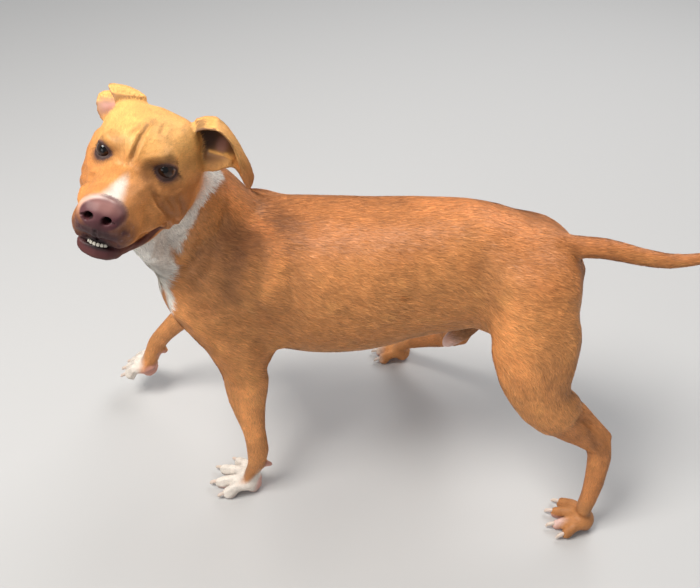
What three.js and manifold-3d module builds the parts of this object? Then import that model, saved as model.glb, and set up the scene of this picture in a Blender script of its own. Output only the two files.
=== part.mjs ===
// A lean short-coated dog of bull type, life size, standing still on three feet with its right
// forepaw lifted and its head turned to its left. Millimetres; +X is forward, +Y the dog's left,
// +Z up. The floor is Z = 0 and the group is centred on its own box.
//
// The flesh is one smooth blend of sleeves, barrels and ellipsoids, each of them a field that is
// negative inside. Every node is a stretch of that blend, parted from its neighbours by thin cuts.
import * as THREE from "three";
import { mergeVertices } from "three/addons/utils/BufferGeometryUtils.js";
import Module from "manifold-3d";

const wasm = await Module();
wasm.setup();

// ---- Driving sizes ----------------------------------------------------------------------------
const SEAM = 0.3; // gap between two neighbouring nodes
const SOLE = 0; // level of the flats that stand on the floor

const EYE_RADIUS = 11.5;
const EYE_SPACING = 78; // between the pupils
const HEAD_AT = [108, 180, 656]; // the point midway between the pupils
const HEAD_TURN = { yaw: 96.2, pitch: -16.3, roll: -17.9 }; // degrees

const NOSE_WIDTH = 46;
const CLAW_LENGTH = 10;

const SHADES = {
  back: 0xb5713f,
  side: 0xc48852,
  face: 0xdfa862,
  ear: 0xd19a5c,
  white: 0xe9ddcc,
  nose: 0x6d4448,
  lip: 0x5c3034,
  eye: 0x2b1710,
  claw: 0xe8ddd2,
};

// ---- Small maths ------------------------------------------------------------------------------
const vec = (x, y, z) => new THREE.Vector3(x, y, z);
const deg = THREE.MathUtils.degToRad;
const mirror = (side, [x, y, z, ...rest]) => [x, side * y, z, ...rest];

function frameOf(at, { yaw = 0, pitch = 0, roll = 0 }) {
  const turn = new THREE.Euler(deg(roll), deg(pitch), deg(yaw), "ZYX");
  return new THREE.Matrix4().makeRotationFromEuler(turn).setPosition(...at);
}

// A cubic through evenly weighted stations [x, a, b, ...], read at x; flat beyond its ends.
function between(stations, x) {
  const last = stations.length - 1;
  if (x <= stations[0][0]) return stations[0].slice(1);
  if (x >= stations[last][0]) return stations[last].slice(1);
  const i = stations.findIndex((s) => s[0] > x) - 1;
  const [p, q] = [stations[i], stations[i + 1]];
  const before = stations[Math.max(i - 1, 0)];
  const after = stations[Math.min(i + 2, last)];
  const width = q[0] - p[0];
  const t = (x - p[0]) / width;
  return p.slice(1).map((value, k) => {
    const next = q[k + 1];
    const slopeP = ((next - before[k + 1]) / (q[0] - before[0])) * width;
    const slopeQ = ((after[k + 1] - value) / (after[0] - p[0])) * width;
    return (
      (2 * t ** 3 - 3 * t ** 2 + 1) * value +
      (t ** 3 - 2 * t ** 2 + t) * slopeP +
      (3 * t ** 2 - 2 * t ** 3) * next +
      (t ** 3 - t ** 2) * slopeQ
    );
  });
}

// ---- Fields: about the distance to a surface, negative inside ---------------------------------
const FAR = 70; // past this a field answers with the distance to its bounding ball

function ellipsoid(centre, radii, turn = {}) {
  const inward = frameOf(centre, turn).invert();
  const ball = Math.max(...radii);
  const [cx, cy, cz] = centre;
  const q = vec(0, 0, 0);
  return (p) => {
    const off = Math.hypot(p.x - cx, p.y - cy, p.z - cz) - ball;
    if (off > FAR) return off;
    q.copy(p).applyMatrix4(inward);
    const near = Math.hypot(q.x / radii[0], q.y / radii[1], q.z / radii[2]);
    const slope = Math.hypot(q.x / radii[0] ** 2, q.y / radii[1] ** 2, q.z / radii[2] ** 2);
    return near < 1e-4 ? -Math.min(...radii) : (near * (near - 1)) / slope;
  };
}

// Stations along a smooth curve through joints [x, y, z, half width, half depth]: the width is
// measured along `across`, the depth square to it and to the curve.
function stationsOf(joints, across, count) {
  const path = new THREE.CatmullRomCurve3(joints.map(([x, y, z]) => vec(x, y, z)), false, "centripetal");
  const sizes = joints.map(([, , , width, depth], i) => [i, width, depth ?? width]);
  const last = joints.length - 1;
  return Array.from({ length: count + 1 }, (_, i) => {
    const t = i / count;
    const along = path.getTangent(t);
    const side = across.clone().addScaledVector(along, -across.dot(along)).normalize();
    const [width, depth] = between(sizes, t * last);
    return { at: path.getPoint(t), along, side, deep: along.clone().cross(side), width, depth };
  });
}

const LATERAL = vec(0, 1, 0);
const SPAN_STEPS = 6; // stations between two joints

function sleeve(joints, across = LATERAL, squareness = 2) {
  const stations = stationsOf(joints, across, (joints.length - 1) * SPAN_STEPS);
  const box = new THREE.Box3().setFromPoints(stations.map((s) => s.at));
  const ball = box.getBoundingSphere(new THREE.Sphere());
  ball.radius += Math.max(...stations.map((s) => Math.max(s.width, s.depth)));
  const d = vec(0, 0, 0);
  const n = squareness;
  return (p) => {
    const off = p.distanceTo(ball.center) - ball.radius;
    if (off > FAR) return off;
    let [best, at] = [Infinity, 0];
    for (let i = 0; i < stations.length; i++) {
      const gap = p.distanceToSquared(stations[i].at);
      if (gap < best) [best, at] = [gap, i];
    }
    const s = stations[at];
    d.subVectors(p, s.at);
    let t = d.dot(s.along);
    const other = stations[at + (t > 0 ? 1 : -1)];
    let [width, depth] = [s.width, s.depth];
    if (other) {
      const share = Math.min(Math.abs(t) / s.at.distanceTo(other.at), 1);
      d.addScaledVector(other.at, -share).addScaledVector(s.at, share);
      width += (other.width - width) * share;
      depth += (other.depth - depth) * share;
      t = 0;
    }
    const [u, v] = [Math.abs(d.dot(s.side)) / width, Math.abs(d.dot(s.deep)) / depth];
    const round = n === 2 ? Math.hypot(u, v) : (u ** n + v ** n) ** (1 / n);
    const least = Math.min(width, depth);
    return (Math.hypot(round, t / least) - 1) * least;
  };
}

// The barrel of the trunk: rings [x, top, bottom, half width] along X, narrower below by `keel`.
function barrel(rings, squareness, keel) {
  const ends = [rings[0][0], rings[rings.length - 1][0]];
  const [middle, half] = [(ends[0] + ends[1]) / 2, (ends[1] - ends[0]) / 2];
  return (p) => {
    const beyond = Math.abs(p.x - middle) - half;
    if (beyond > FAR) return beyond;
    const [top, bottom, halfWidth] = between(rings, p.x);
    const tall = (top - bottom) / 2;
    const rise = (p.z - (top + bottom) / 2) / tall;
    const width = halfWidth * (1 + keel * Math.max(-1, Math.min(1, rise)));
    const n = squareness;
    const round = (Math.abs(p.y / width) ** n + Math.abs(rise) ** n) ** (1 / n);
    return smoothMax((round - 1) * Math.min(width, tall), beyond, 60);
  };
}

function smoothMin(a, b, k) {
  const h = Math.max(k - Math.abs(a - b), 0) / k;
  return Math.min(a, b) - (h * h * h * k) / 6;
}
const smoothMax = (a, b, k) => -smoothMin(-a, -b, k);
const blend = (k, ...fields) => (p) => fields.reduce((sum, f) => smoothMin(sum, f(p), k), Infinity);

function inFrame(matrix, field) {
  const inward = matrix.clone().invert();
  const q = vec(0, 0, 0);
  return (p) => field(q.copy(p).applyMatrix4(inward));
}

// ---- The head, in its own frame: +X out of the muzzle, +Y its left, +Z up, 0 between the pupils
const HEAD = frameOf(HEAD_AT, HEAD_TURN);
const PUPIL_Y = EYE_SPACING / 2;
const EYE_CENTRE = [-10, PUPIL_Y - 4, 0];
const eyeAt = (side) => mirror(side, EYE_CENTRE);
const bothSides = (make) => [1, -1].map((side) => make((joint) => mirror(side, joint), side));

const skull = blend(
  14,
  ellipsoid([-60, 0, 2], [60, 55, 50]), // brain case
  ellipsoid([-24, 0, 10], [36, 44, 30]), // forehead
  ellipsoid([-100, 0, -12], [30, 44, 42]), // occiput
  ...bothSides((at) => ellipsoid(at([-62, 30, 8]), [42, 28, 40])), // temple muscle
  ...bothSides((at) => sleeve([at([2, 34, -22, 12]), at([-30, 49, -14, 13]), at([-66, 56, -8, 14])])),
  ...bothSides((at) => ellipsoid(at([-46, 42, -42]), [42, 23, 36])), // cheek muscle
  ...bothSides((at) => ellipsoid(at([-6, 30, 13]), [17, 16, 9])), // brow
);
const muzzle = blend(
  12,
  sleeve(
    [
      [-20, 0, -26, 36, 30],
      [20, 0, -34, 33, 27],
      [60, 0, -40, 30, 24],
      [84, 0, -42, 27, 22],
    ],
    LATERAL,
    2.6,
  ),
  ...bothSides((at) => ellipsoid(at([52, 22, -58]), [36, 14, 19])), // upper lip
  ...bothSides((at) => ellipsoid(at([10, 36, -52]), [26, 13, 18])),
);
const mandible = blend(
  10,
  sleeve(
    [
      [-60, 0, -82, 39, 22],
      [-10, 0, -87, 37, 18],
      [40, 0, -84, 30, 14],
      [66, 0, -84, 22, 12],
    ],
    LATERAL,
    2.4,
  ),
  ellipsoid([64, 0, -85], [19, 24, 12]), // chin and lower lip
  sleeve([[-50, 0, -60, 36, 22], [10, 0, -60, 30, 20], [56, 0, -62, 22, 14]]), // between the jaws
);
const nosePad = blend(
  5,
  ellipsoid([86, 0, -34], [13, NOSE_WIDTH / 2, 15]),
  ...bothSides((at) => ellipsoid(at([88, 12, -37]), [11, 11, 11])),
);
const lids = bothSides((at, side) => ellipsoid(eyeAt(side), Array(3).fill(EYE_RADIUS + 2.4)));
const LID_YAW = 24; // degrees that an eye looks outward
const FISSURE = [12, 12.5, 8.5]; // half sizes of the opening between the lids: deep, wide, high
const headField = inFrame(HEAD, blend(7, blend(14, skull, muzzle, mandible), nosePad, ...lids));

// ---- Neck, trunk and tail ---------------------------------------------------------------------
const inHead = (x, y, z) => vec(x, y, z).applyMatrix4(HEAD).toArray();
const neck = sleeve(
  [
    [20, 0, 390, 74, 84],
    [78, 6, 428, 68, 78],
    [116, 24, 497, 62, 81],
    [...inHead(-90, 0, -46), 56, 64],
    [...inHead(-58, 0, -34), 48, 54],
  ],
  LATERAL,
  2.2,
);

const TRUNK_RINGS = [
  [-442, 456, 404, 46],
  [-414, 470, 364, 60],
  [-380, 487, 345, 68],
  [-330, 507, 334, 72],
  [-280, 520, 318, 71],
  [-215, 516, 296, 79],
  [-150, 507, 268, 91],
  [-70, 500, 250, 95],
  [0, 495, 249, 90],
  [70, 480, 258, 82],
  [140, 448, 280, 66],
  [182, 430, 304, 46],
];
const throat = sleeve([
  [...inHead(-34, 4, -84), 18, 16],
  [126, 162, 526, 19, 18],
  [139, 115, 487, 24, 22],
  [149, 68, 442, 30, 30],
  [146, 34, 402, 34, 36],
]);
const trunk = blend(
  30,
  barrel(TRUNK_RINGS, 2.3, 0.06),
  ellipsoid([138, 0, 345], [50, 62, 76]), // breast
  ...bothSides((at) => ellipsoid(at([30, 64, 398]), [52, 31, 82], { pitch: 18 })), // shoulder blade
  sleeve([[118, 66, 345, 30, 38], [46, 82, 275, 28, 38]]), // upper arms
  sleeve([[112, -66, 350, 30, 38], [128, -79, 285, 28, 36]]),
  ...bothSides((at) => ellipsoid(at([-360, 46, 424]), [60, 42, 60])), // croup
  ...bothSides((at) => ellipsoid(at([-394, 48, 372]), [32, 40, 60])), // buttock
);
const PREPUCE = [
  [-304, 0, 326, 13],
  [-280, 3, 301, 17],
  [-263, 5, 275, 17],
  [-259, 5, 262, 11],
];
const TAIL = [
  [-380, 0, 468, 24, 26],
  [-415, 0, 469, 17, 18],
  [-455, 0, 471, 16, 16],
  [-504, 0, 463, 13, 14],
  [-544, 0, 460, 11, 12],
  [-585, 0, 470, 8.5, 9],
  [-630, 0, 488, 6, 6],
  [-668, 0, 498, 3.5, 3.5],
];

// ---- Legs: joints [x, y, z, half width, half depth] from the body down -------------------------
const FORELEG = {
  left: [
    [45, 84, 290, 24, 38],
    [39, 92, 240, 22, 38],
    [39, 98, 190, 18, 31],
    [31, 106, 135, 14, 20],
    [27, 110, 96, 16, 19],
    [32, 113, 60, 16, 15],
    [44, 114, 34, 20, 12],
  ],
  right: [
    [106, -76, 325, 26, 38],
    [136, -81, 264, 22, 31],
    [192, -82, 203, 18, 23],
    [244, -81, 146, 14, 17],
    [264, -80, 118, 15, 17],
    [280, -76, 84, 16, 14],
    [293, -73, 66, 19, 12],
  ],
};
const THIGH = {
  left: [
    [-370, 58, 430, 40, 56],
    [-380, 80, 350, 36, 64],
    [-394, 92, 275, 30, 46],
    [-434, 92, 224, 22, 29],
    [-470, 86, 192, 16, 21],
  ],
  right: [
    [-362, -60, 420, 42, 64],
    [-320, -88, 345, 36, 60],
    [-286, -112, 280, 30, 43],
    [-278, -140, 215, 22, 28],
    [-270, -165, 160, 16, 20],
  ],
};
const HOCK = {
  left: [
    [-412, 92, 250, 26, 36],
    [-434, 92, 222, 22, 28],
    [-470, 86, 192, 16, 20],
    [-498, 80, 166, 15, 20],
    [-502, 88, 125, 14, 17],
    [-500, 97, 75, 15, 15],
    [-494, 102, 38, 18, 13],
  ],
  right: [
    [-281, -126, 248, 25, 34],
    [-276, -145, 205, 20, 26],
    [-268, -166, 158, 16, 20],
    [-256, -182, 118, 15, 19],
    [-221, -201, 90, 14, 15],
    [-182, -221, 62, 15, 14],
    [-162, -237, 34, 18, 13],
  ],
};
const TENDON = {
  left: [
    [-440, 84, 262, 14, 14],
    [-478, 78, 222, 7, 8],
    [-505, 74, 186, 8, 10],
    [-505, 80, 160, 10, 12],
  ],
  right: [
    [-312, -132, 250, 14, 14],
    [-298, -152, 180, 7, 8],
    [-282, -170, 126, 8, 10],
    [-262, -184, 108, 10, 12],
  ],
};
const limbs = ["left", "right"].flatMap((side) => [
  sleeve(FORELEG[side]),
  sleeve(THIGH[side]),
  sleeve(HOCK[side]),
  sleeve(TENDON[side]),
]);
const flesh = blend(
  24,
  blend(34, trunk, neck, headField),
  throat,
  sleeve(TAIL),
  ...limbs,
);

// ---- Fields and sleeves made solid ------------------------------------------------------------
// A closed mesh of a field inside a box of cells: one vertex for each cell that the surface
// passes through, moved onto the surface, and one quad for each edge of the grid that it crosses.
function polygonise(field, { frame = new THREE.Matrix4(), from, to, cell }) {
  const counts = from.map((low, i) => Math.ceil((to[i] - low) / cell));
  const [nx, ny, nz] = counts.map((n) => n + 1);
  const corner = (i, j, k) => (i * ny + j) * nz + k;
  const place = (i, j, k) => vec(from[0] + i * cell, from[1] + j * cell, from[2] + k * cell);
  const world = (point) => point.applyMatrix4(frame);
  const values = new Float64Array(nx * ny * nz);
  for (let i = 0; i < nx; i++)
    for (let j = 0; j < ny; j++)
      for (let k = 0; k < nz; k++) {
        const rim = i === 0 || j === 0 || k === 0 || i === nx - 1 || j === ny - 1 || k === nz - 1;
        const value = field(world(place(i, j, k)));
        values[corner(i, j, k)] = rim ? Math.max(value, cell / 4) : value;
      }
  closePinches(values, [nx, ny, nz], cell);
  const positions = [];
  const vertexOf = new Map();
  for (let i = 0; i < nx - 1; i++)
    for (let j = 0; j < ny - 1; j++)
      for (let k = 0; k < nz - 1; k++) {
        const mean = vec(0, 0, 0);
        let crossings = 0;
        for (const [a, b] of CELL_EDGES) {
          const va = values[corner(i + a[0], j + a[1], k + a[2])];
          const vb = values[corner(i + b[0], j + b[1], k + b[2])];
          if (va < 0 === vb < 0) continue;
          const t = va / (va - vb);
          mean.add(place(...[i, j, k].map((c, axis) => c + a[axis] + t * (b[axis] - a[axis]))));
          crossings++;
        }
        if (!crossings) continue;
        const rim = [i, j, k].some((c, axis) => c === 0 || c === counts[axis] - 1);
        const point = world(mean.divideScalar(crossings));
        if (!rim) settle(point, field, cell);
        vertexOf.set(corner(i, j, k), positions.length / 3);
        positions.push(point.x, point.y, point.z);
      }
  const quads = [];
  for (let i = 0; i < nx - 1; i++)
    for (let j = 0; j < ny - 1; j++)
      for (let k = 0; k < nz - 1; k++) {
        const inside = values[corner(i, j, k)] < 0;
        for (let axis = 0; axis < 3; axis++) {
          const step = [0, 0, 0];
          step[axis] = 1;
          if (inside === values[corner(i + step[0], j + step[1], k + step[2])] < 0) continue;
          const [u, w] = [(axis + 1) % 3, (axis + 2) % 3];
          const ring = [[0, 0], [1, 0], [1, 1], [0, 1]].map(([du, dw]) => {
            const c = [i, j, k];
            c[u] -= du;
            c[w] -= dw;
            return vertexOf.get(corner(...c));
          });
          quads.push(inside ? ring : ring.reverse());
        }
      }
  return geometryOf(positions, splitQuads(quads, positions));
}

// Where a face of the grid has inside and outside corners crosswise, its outer corner nearest the
// surface is taken in, so that no two sheets of the surface meet along an edge.
function closePinches(values, [nx, ny, nz], cell) {
  const strides = [ny * nz, nz, 1];
  for (let i = 0; i < nx - 1; i++)
    for (let j = 0; j < ny - 1; j++)
      for (let k = 0; k < nz - 1; k++)
        for (const [u, w] of [[0, 1], [1, 2], [2, 0]]) {
          const a = (i * ny + j) * nz + k;
          const ring = [a, a + strides[u], a + strides[u] + strides[w], a + strides[w]];
          const [p, q, r, s] = ring.map((c) => values[c] < 0);
          if (p !== r || q !== s || p === q) continue;
          const outer = ring.filter((c) => values[c] >= 0).sort((c, d) => values[c] - values[d]);
          values[outer[0]] = -cell / 50;
        }
}

// Each quad is split along its shorter diagonal, or along the other where that edge is in use.
function splitQuads(quads, positions) {
  const at = (v) => vec().fromArray(positions, 3 * v);
  const key = (a, b) => (a < b ? a + " " + b : b + " " + a);
  const used = new Set();
  for (const [a, b, c, d] of quads)
    for (const edge of [[a, b], [b, c], [c, d], [d, a]])
      used.add(key(...edge));
  return quads.flatMap(([a, b, c, d]) => {
    const free = [[a, b, c, d], [b, c, d, a]].filter(([from, , to]) => !used.has(key(from, to)));
    free.sort((p, q) => at(p[0]).distanceTo(at(p[2])) - at(q[0]).distanceTo(at(q[2])));
    const [p, q, r, s] = free[0] ?? [a, b, c, d];
    used.add(key(p, r));
    return [p, q, r, p, r, s];
  });
}

const CELL_CORNERS = [0, 1].flatMap((x) => [0, 1].flatMap((y) => [0, 1].map((z) => [x, y, z])));
const oneStepOn = (a, b) => b.reduce((sum, c, i) => sum + c - a[i], 0) === 1 && b.every((c, i) => c >= a[i]);
const CELL_EDGES = CELL_CORNERS.flatMap((a) =>
  CELL_CORNERS.filter((b) => oneStepOn(a, b)).map((b) => [a, b]),
);

// Moves a point onto the field's surface, by no more than half a cell at a time.
function settle(point, field, cell) {
  const eps = 0.4;
  for (let pass = 0; pass < 4; pass++) {
    const value = field(point);
    const slope = vec(
      field(point.clone().add(vec(eps, 0, 0))) - field(point.clone().add(vec(-eps, 0, 0))),
      field(point.clone().add(vec(0, eps, 0))) - field(point.clone().add(vec(0, -eps, 0))),
      field(point.clone().add(vec(0, 0, eps))) - field(point.clone().add(vec(0, 0, -eps))),
    ).divideScalar(2 * eps);
    const step = -value / Math.max(slope.lengthSq(), 0.2);
    point.addScaledVector(slope, THREE.MathUtils.clamp(step, -cell / 2, cell / 2));
  }
}

function geometryOf(positions, index) {
  const geometry = new THREE.BufferGeometry();
  geometry.setAttribute("position", new THREE.Float32BufferAttribute(positions, 3));
  return geometry.setIndex(index);
}

function solidOf(geometry) {
  const bare = geometry.clone();
  bare.deleteAttribute("normal");
  bare.deleteAttribute("uv");
  const merged = mergeVertices(bare, 1e-4);
  return new wasm.Manifold(
    new wasm.Mesh({
      numProp: 3,
      vertProperties: new Float32Array(merged.attributes.position.array),
      triVerts: new Uint32Array(merged.index.array),
    }),
  );
}

const WELD = 0.1; // vertices nearer than this are one

function geometryFrom(solid) {
  const mesh = solid.getMesh();
  const plain = geometryOf(Array.from(mesh.vertProperties), Array.from(mesh.triVerts));
  const welded = mergeVertices(plain, WELD);
  const corners = welded.index.array;
  const index = [];
  for (let i = 0; i < corners.length; i += 3) {
    const [a, b, c] = corners.slice(i, i + 3);
    if (a !== b && b !== c && c !== a) index.push(a, b, c);
  }
  return welded.setIndex(index);
}

// A closed tube of elliptic rings over the same stations as the sleeve of these joints.
function loft(joints, { across = LATERAL, sides = 10, rings = 2, grow = 0, tips = 0.5 } = {}) {
  const stations = stationsOf(joints, across, (joints.length - 1) * rings);
  const positions = [];
  const ends = [stations[0], stations[stations.length - 1]];
  for (const s of stations)
    for (let i = 0; i < sides; i++) {
      const angle = (2 * Math.PI * i) / sides;
      const point = s.at.clone();
      point.addScaledVector(s.side, (s.width + grow) * Math.cos(angle));
      point.addScaledVector(s.deep, (s.depth + grow) * Math.sin(angle));
      positions.push(...point.toArray());
    }
  ends.forEach((s, i) => {
    const reach = (i ? 1 : -1) * (tips * Math.min(s.width, s.depth) + grow);
    positions.push(...s.at.clone().addScaledVector(s.along, reach).toArray());
  });
  const index = [];
  const tail = stations.length * sides;
  for (let i = 0; i < sides; i++) {
    const next = (i + 1) % sides;
    for (let r = 0; r < stations.length - 1; r++) {
      const [a, b, c, d] = [r * sides + i, r * sides + next, (r + 1) * sides + next, (r + 1) * sides + i];
      index.push(a, c, b, a, d, c);
    }
    index.push(tail, i, next, tail + 1, tail - sides + next, tail - sides + i);
  }
  const solid = solidOf(geometryOf(positions, index));
  return solid.volume() < 0 ? solidOf(geometryOf(positions, index.reverse())) : solid;
}

const join = (...solids) => solids.reduce((sum, solid) => sum.add(solid));
const trim = (solid, at, keep) => {
  const normal = vec(...keep).normalize();
  return solid.trimByPlane(normal.toArray(), normal.dot(vec(...at)) + SEAM / 2);
};
const opposite = (direction) => direction.map((c) => -c);

function ball(centre, radii, frame = new THREE.Matrix4(), [around, up] = [10, 6]) {
  const geometry = new THREE.SphereGeometry(1, around, up).scale(...radii);
  return solidOf(geometry.translate(...centre).applyMatrix4(frame));
}

// ---- Where the nodes part: a point on each cut and the way to the outer side --------------------
const headDirection = (x, y, z) => vec(x, y, z).transformDirection(HEAD).toArray();
const CUT = {
  head: { at: inHead(-78, 0, -50), out: headDirection(0.72, 0, 0.69) },
  neck: { at: [80, 8, 480], out: [0.55, 0.1, 0.83] },
  tail: { at: [-414, 0, 470], out: [-0.8, 0, 0.6] },
  haunch: { at: [-300, 0, 300], out: [-0.57, 0, -0.82] },
  middle: { at: [0, 0, 0], out: [0, 1, 0] },
  foreleg: {
    left: { at: [0, 90, 242], out: [0, 0, -1] },
    right: { at: [142, -82, 258], out: [0.62, -0.1, -0.78] },
  },
  forepaw: {
    left: { at: [36, 113, 62], out: [0.6, 0.1, -0.8] },
    right: { at: [276, -77, 92], out: [0.48, 0.12, -0.87] },
  },
  hock: {
    left: { at: [-432, 92, 222], out: [-0.7, 0, -0.71] },
    right: { at: [-290, -135, 232], out: [0.2, -0.38, -0.91] },
  },
  hindpaw: {
    left: { at: [-499, 98, 66], out: [0.1, 0.1, -1] },
    right: { at: [-190, -216, 70], out: [0.69, -0.34, -0.64] },
  },
};
const outerOf = (solid, { at, out }) => trim(solid, at, out);
const innerOf = (solid, { at, out }) => trim(solid, at, opposite(out));

// ---- Nodes ------------------------------------------------------------------------------------
const nodes = [];
const addNode = (name, solid, shade, roughness = 0.8) => nodes.push({ name, solid, shade, roughness });

function addTrunk() {
  let solid = solidOf(polygonise(flesh, { from: [-480, -190, 180], to: [240, 150, 560], cell: 29 }));
  solid = solid.add(loft(PREPUCE, { sides: 8, rings: 1 }));
  solid = innerOf(solid, CUT.neck);
  solid = innerOf(solid, CUT.tail);
  solid = innerOf(solid, CUT.haunch);
  for (const side of ["left", "right"]) solid = innerOf(solid, CUT.foreleg[side]);
  addNode("trunk", solid, SHADES.side);
}

function addNeck() {
  let solid = solidOf(polygonise(flesh, { from: [-20, -100, 330], to: [235, 190, 680], cell: 25 }));
  solid = outerOf(solid, CUT.neck);
  solid = innerOf(solid, CUT.head);
  addNode("neck", solid, SHADES.side);
}

function block(from, to, frame) {
  const size = to.map((high, i) => high - from[i]);
  const middle = to.map((high, i) => (high + from[i]) / 2);
  return solidOf(new THREE.BoxGeometry(...size).translate(...middle).applyMatrix4(frame));
}
// The same block a seam smaller all round.
const innerBlock = (from, to, frame) =>
  block(from.map((c) => c + SEAM), to.map((c) => c - SEAM), frame);

const JAW_BLOCK = [[8, -27, -130], [120, 27, -72]]; // what of the head is the lower jaw
const NOSE_BLOCK = [[84, -24, -51], [125, 24, 10]];
const INCISORS = 6;
const GUM = { x: 64, z: -76, radius: 14 };

// An open mouth at the front, with the lower front teeth standing in it on an arc.
function addJaw(whole) {
  const gape = ball([84, 0, -72], [20, 20, 4.5], HEAD, [10, 6]);
  let jaw = whole.intersect(innerBlock(...JAW_BLOCK, HEAD)).subtract(gape);
  for (let i = 0; i < INCISORS; i++) {
    const angle = ((i - (INCISORS - 1) / 2) / (INCISORS - 1)) * 1.9;
    const [x, y] = [GUM.x + GUM.radius * Math.cos(angle), GUM.radius * Math.sin(angle)];
    jaw = jaw.add(ball([x, y, GUM.z], [2, 2.4, 5.5], HEAD, [5, 4]));
  }
  addNode("lower_jaw", jaw, SHADES.lip);
  return whole.subtract(block(...JAW_BLOCK, HEAD)).subtract(gape);
}

function addNose(whole) {
  let nose = whole.intersect(innerBlock(...NOSE_BLOCK, HEAD));
  for (const side of [1, -1])
    nose = nose.subtract(ball([98, side * 10, -39], [9, 5, 4.5], HEAD, [6, 5]));
  addNode("nose", nose, SHADES.nose, 0.4);
  return whole.subtract(block(...NOSE_BLOCK, HEAD));
}

// An ear flap is a cupped sheet: its rows run from a leading edge over a ridge to a trailing edge.
const EARS = {
  left: {
    lead: [[-58, 46, 38], [-56, 70, 50], [-60, 90, 41], [-66, 101, 26], [-76, 111, 5], [-85, 123, -14]],
    ridge: [[-84, 40, 42], [-88, 62, 53], [-90, 84, 43], [-90, 105, 25], [-90, 126, 1], [-87, 126, -15]],
    trail: [[-64, 68, -6], [-70, 84, -1], [-76, 97, 8], [-80, 104, 5], [-85, 111, -3], [-87, 122, -16]],
  },
  right: {
    lead: [[-58, -46, 26], [-61, -52, 43], [-68, -65, 54], [-84, -66, 55], [-103, -54, 49], [-118, -46, 45]],
    ridge: [[-82, -16, 38], [-80, -22, 53], [-88, -38, 54], [-99, -44, 52], [-111, -42, 48], [-123, -38, 42]],
    trail: [[-66, -60, 10], [-70, -72, 21], [-80, -79, 35], [-91, -76, 41], [-102, -66, 38], [-112, -58, 34]],
  },
};
const EAR_THICKNESS = 4;
const EAR_ROOT = 0.02; // share of its length by which the flap stops short of its socket

function flap({ lead, ridge, trail }, thickness, root = 0, [along, across] = [10, 5]) {
  const curves = [lead, ridge, trail].map(
    (points) => new THREE.CatmullRomCurve3(points.map((p) => vec(...p)), false, "centripetal"),
  );
  const sheet = (u, v) => {
    const [a, m, b] = curves.map((curve) => curve.getPoint(THREE.MathUtils.clamp(u, 0, 1)));
    const bend = m.multiplyScalar(2).addScaledVector(a, -0.5).addScaledVector(b, -0.5);
    return a.multiplyScalar((1 - v) ** 2).addScaledVector(bend, 2 * v * (1 - v)).addScaledVector(b, v * v);
  };
  const positions = [];
  const width = across + 1;
  for (const face of [1, -1])
    for (let i = 0; i <= along; i++)
      for (let j = 0; j <= across; j++) {
        const [u, v] = [root + ((1 - root) * i) / along, j / across];
        const du = sheet(Math.min(u + 0.02, 1), v).sub(sheet(Math.max(u - 0.02, 0), v));
        const dv = sheet(u, v + 0.02).sub(sheet(u, v - 0.02));
        const edge = i === along || j === 0 || j === across ? 0.6 : 1;
        const lift = (face * edge * thickness) / 2;
        positions.push(...sheet(u, v).addScaledVector(du.cross(dv).normalize(), lift).toArray());
      }
  const half = positions.length / 6;
  const index = [];
  const side = (a, b, c, d) => index.push(a, b, c, a, c, d);
  for (let i = 0; i < along; i++)
    for (let j = 0; j < across; j++) {
      const [a, b] = [i * width + j, (i + 1) * width + j];
      side(a, b, b + 1, a + 1);
      side(half + a + 1, half + b + 1, half + b, half + a);
    }
  for (let i = 0; i < along; i++) {
    const [a, b] = [i * width, (i + 1) * width];
    side(a, half + a, half + b, b);
    side(b + across, half + b + across, half + a + across, a + across);
  }
  for (let j = 0; j < across; j++) {
    const top = along * width + j;
    side(j + 1, half + j + 1, half + j, j);
    side(top, half + top, half + top + 1, top + 1);
  }
  const solid = solidOf(geometryOf(positions, index).applyMatrix4(HEAD));
  return solid.volume() < 0 ? solidOf(geometryOf(positions, index.reverse()).applyMatrix4(HEAD)) : solid;
}

function addHead() {
  const region = { frame: HEAD, from: [-135, -85, -125], to: [112, 85, 72], cell: 13 };
  let solid = outerOf(solidOf(polygonise(flesh, region)), CUT.head);
  for (const [side, name] of [[1, "left"], [-1, "right"]]) {
    const eye = (radius) => ball(eyeAt(side), [radius, radius, radius], HEAD, [12, 8]);
    const looking = HEAD.clone().multiply(frameOf(eyeAt(side), { yaw: side * LID_YAW }));
    solid = solid.subtract(ball([EYE_RADIUS + 3, 0, 0], FISSURE, looking));
    solid = solid.subtract(eye(EYE_RADIUS + SEAM));
    addNode("eye_" + name, eye(EYE_RADIUS), SHADES.eye, 0.1);
    solid = solid.subtract(flap(EARS[name], EAR_THICKNESS + 3 * SEAM));
    addNode("ear_" + name, flap(EARS[name], EAR_THICKNESS, EAR_ROOT), SHADES.ear);
  }
  solid = addJaw(solid);
  solid = addNose(solid);
  addNode("head", solid, SHADES.face);
}

function addTail() {
  addNode("tail", outerOf(loft(TAIL, { sides: 8 }), CUT.tail), SHADES.back);
}

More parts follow.
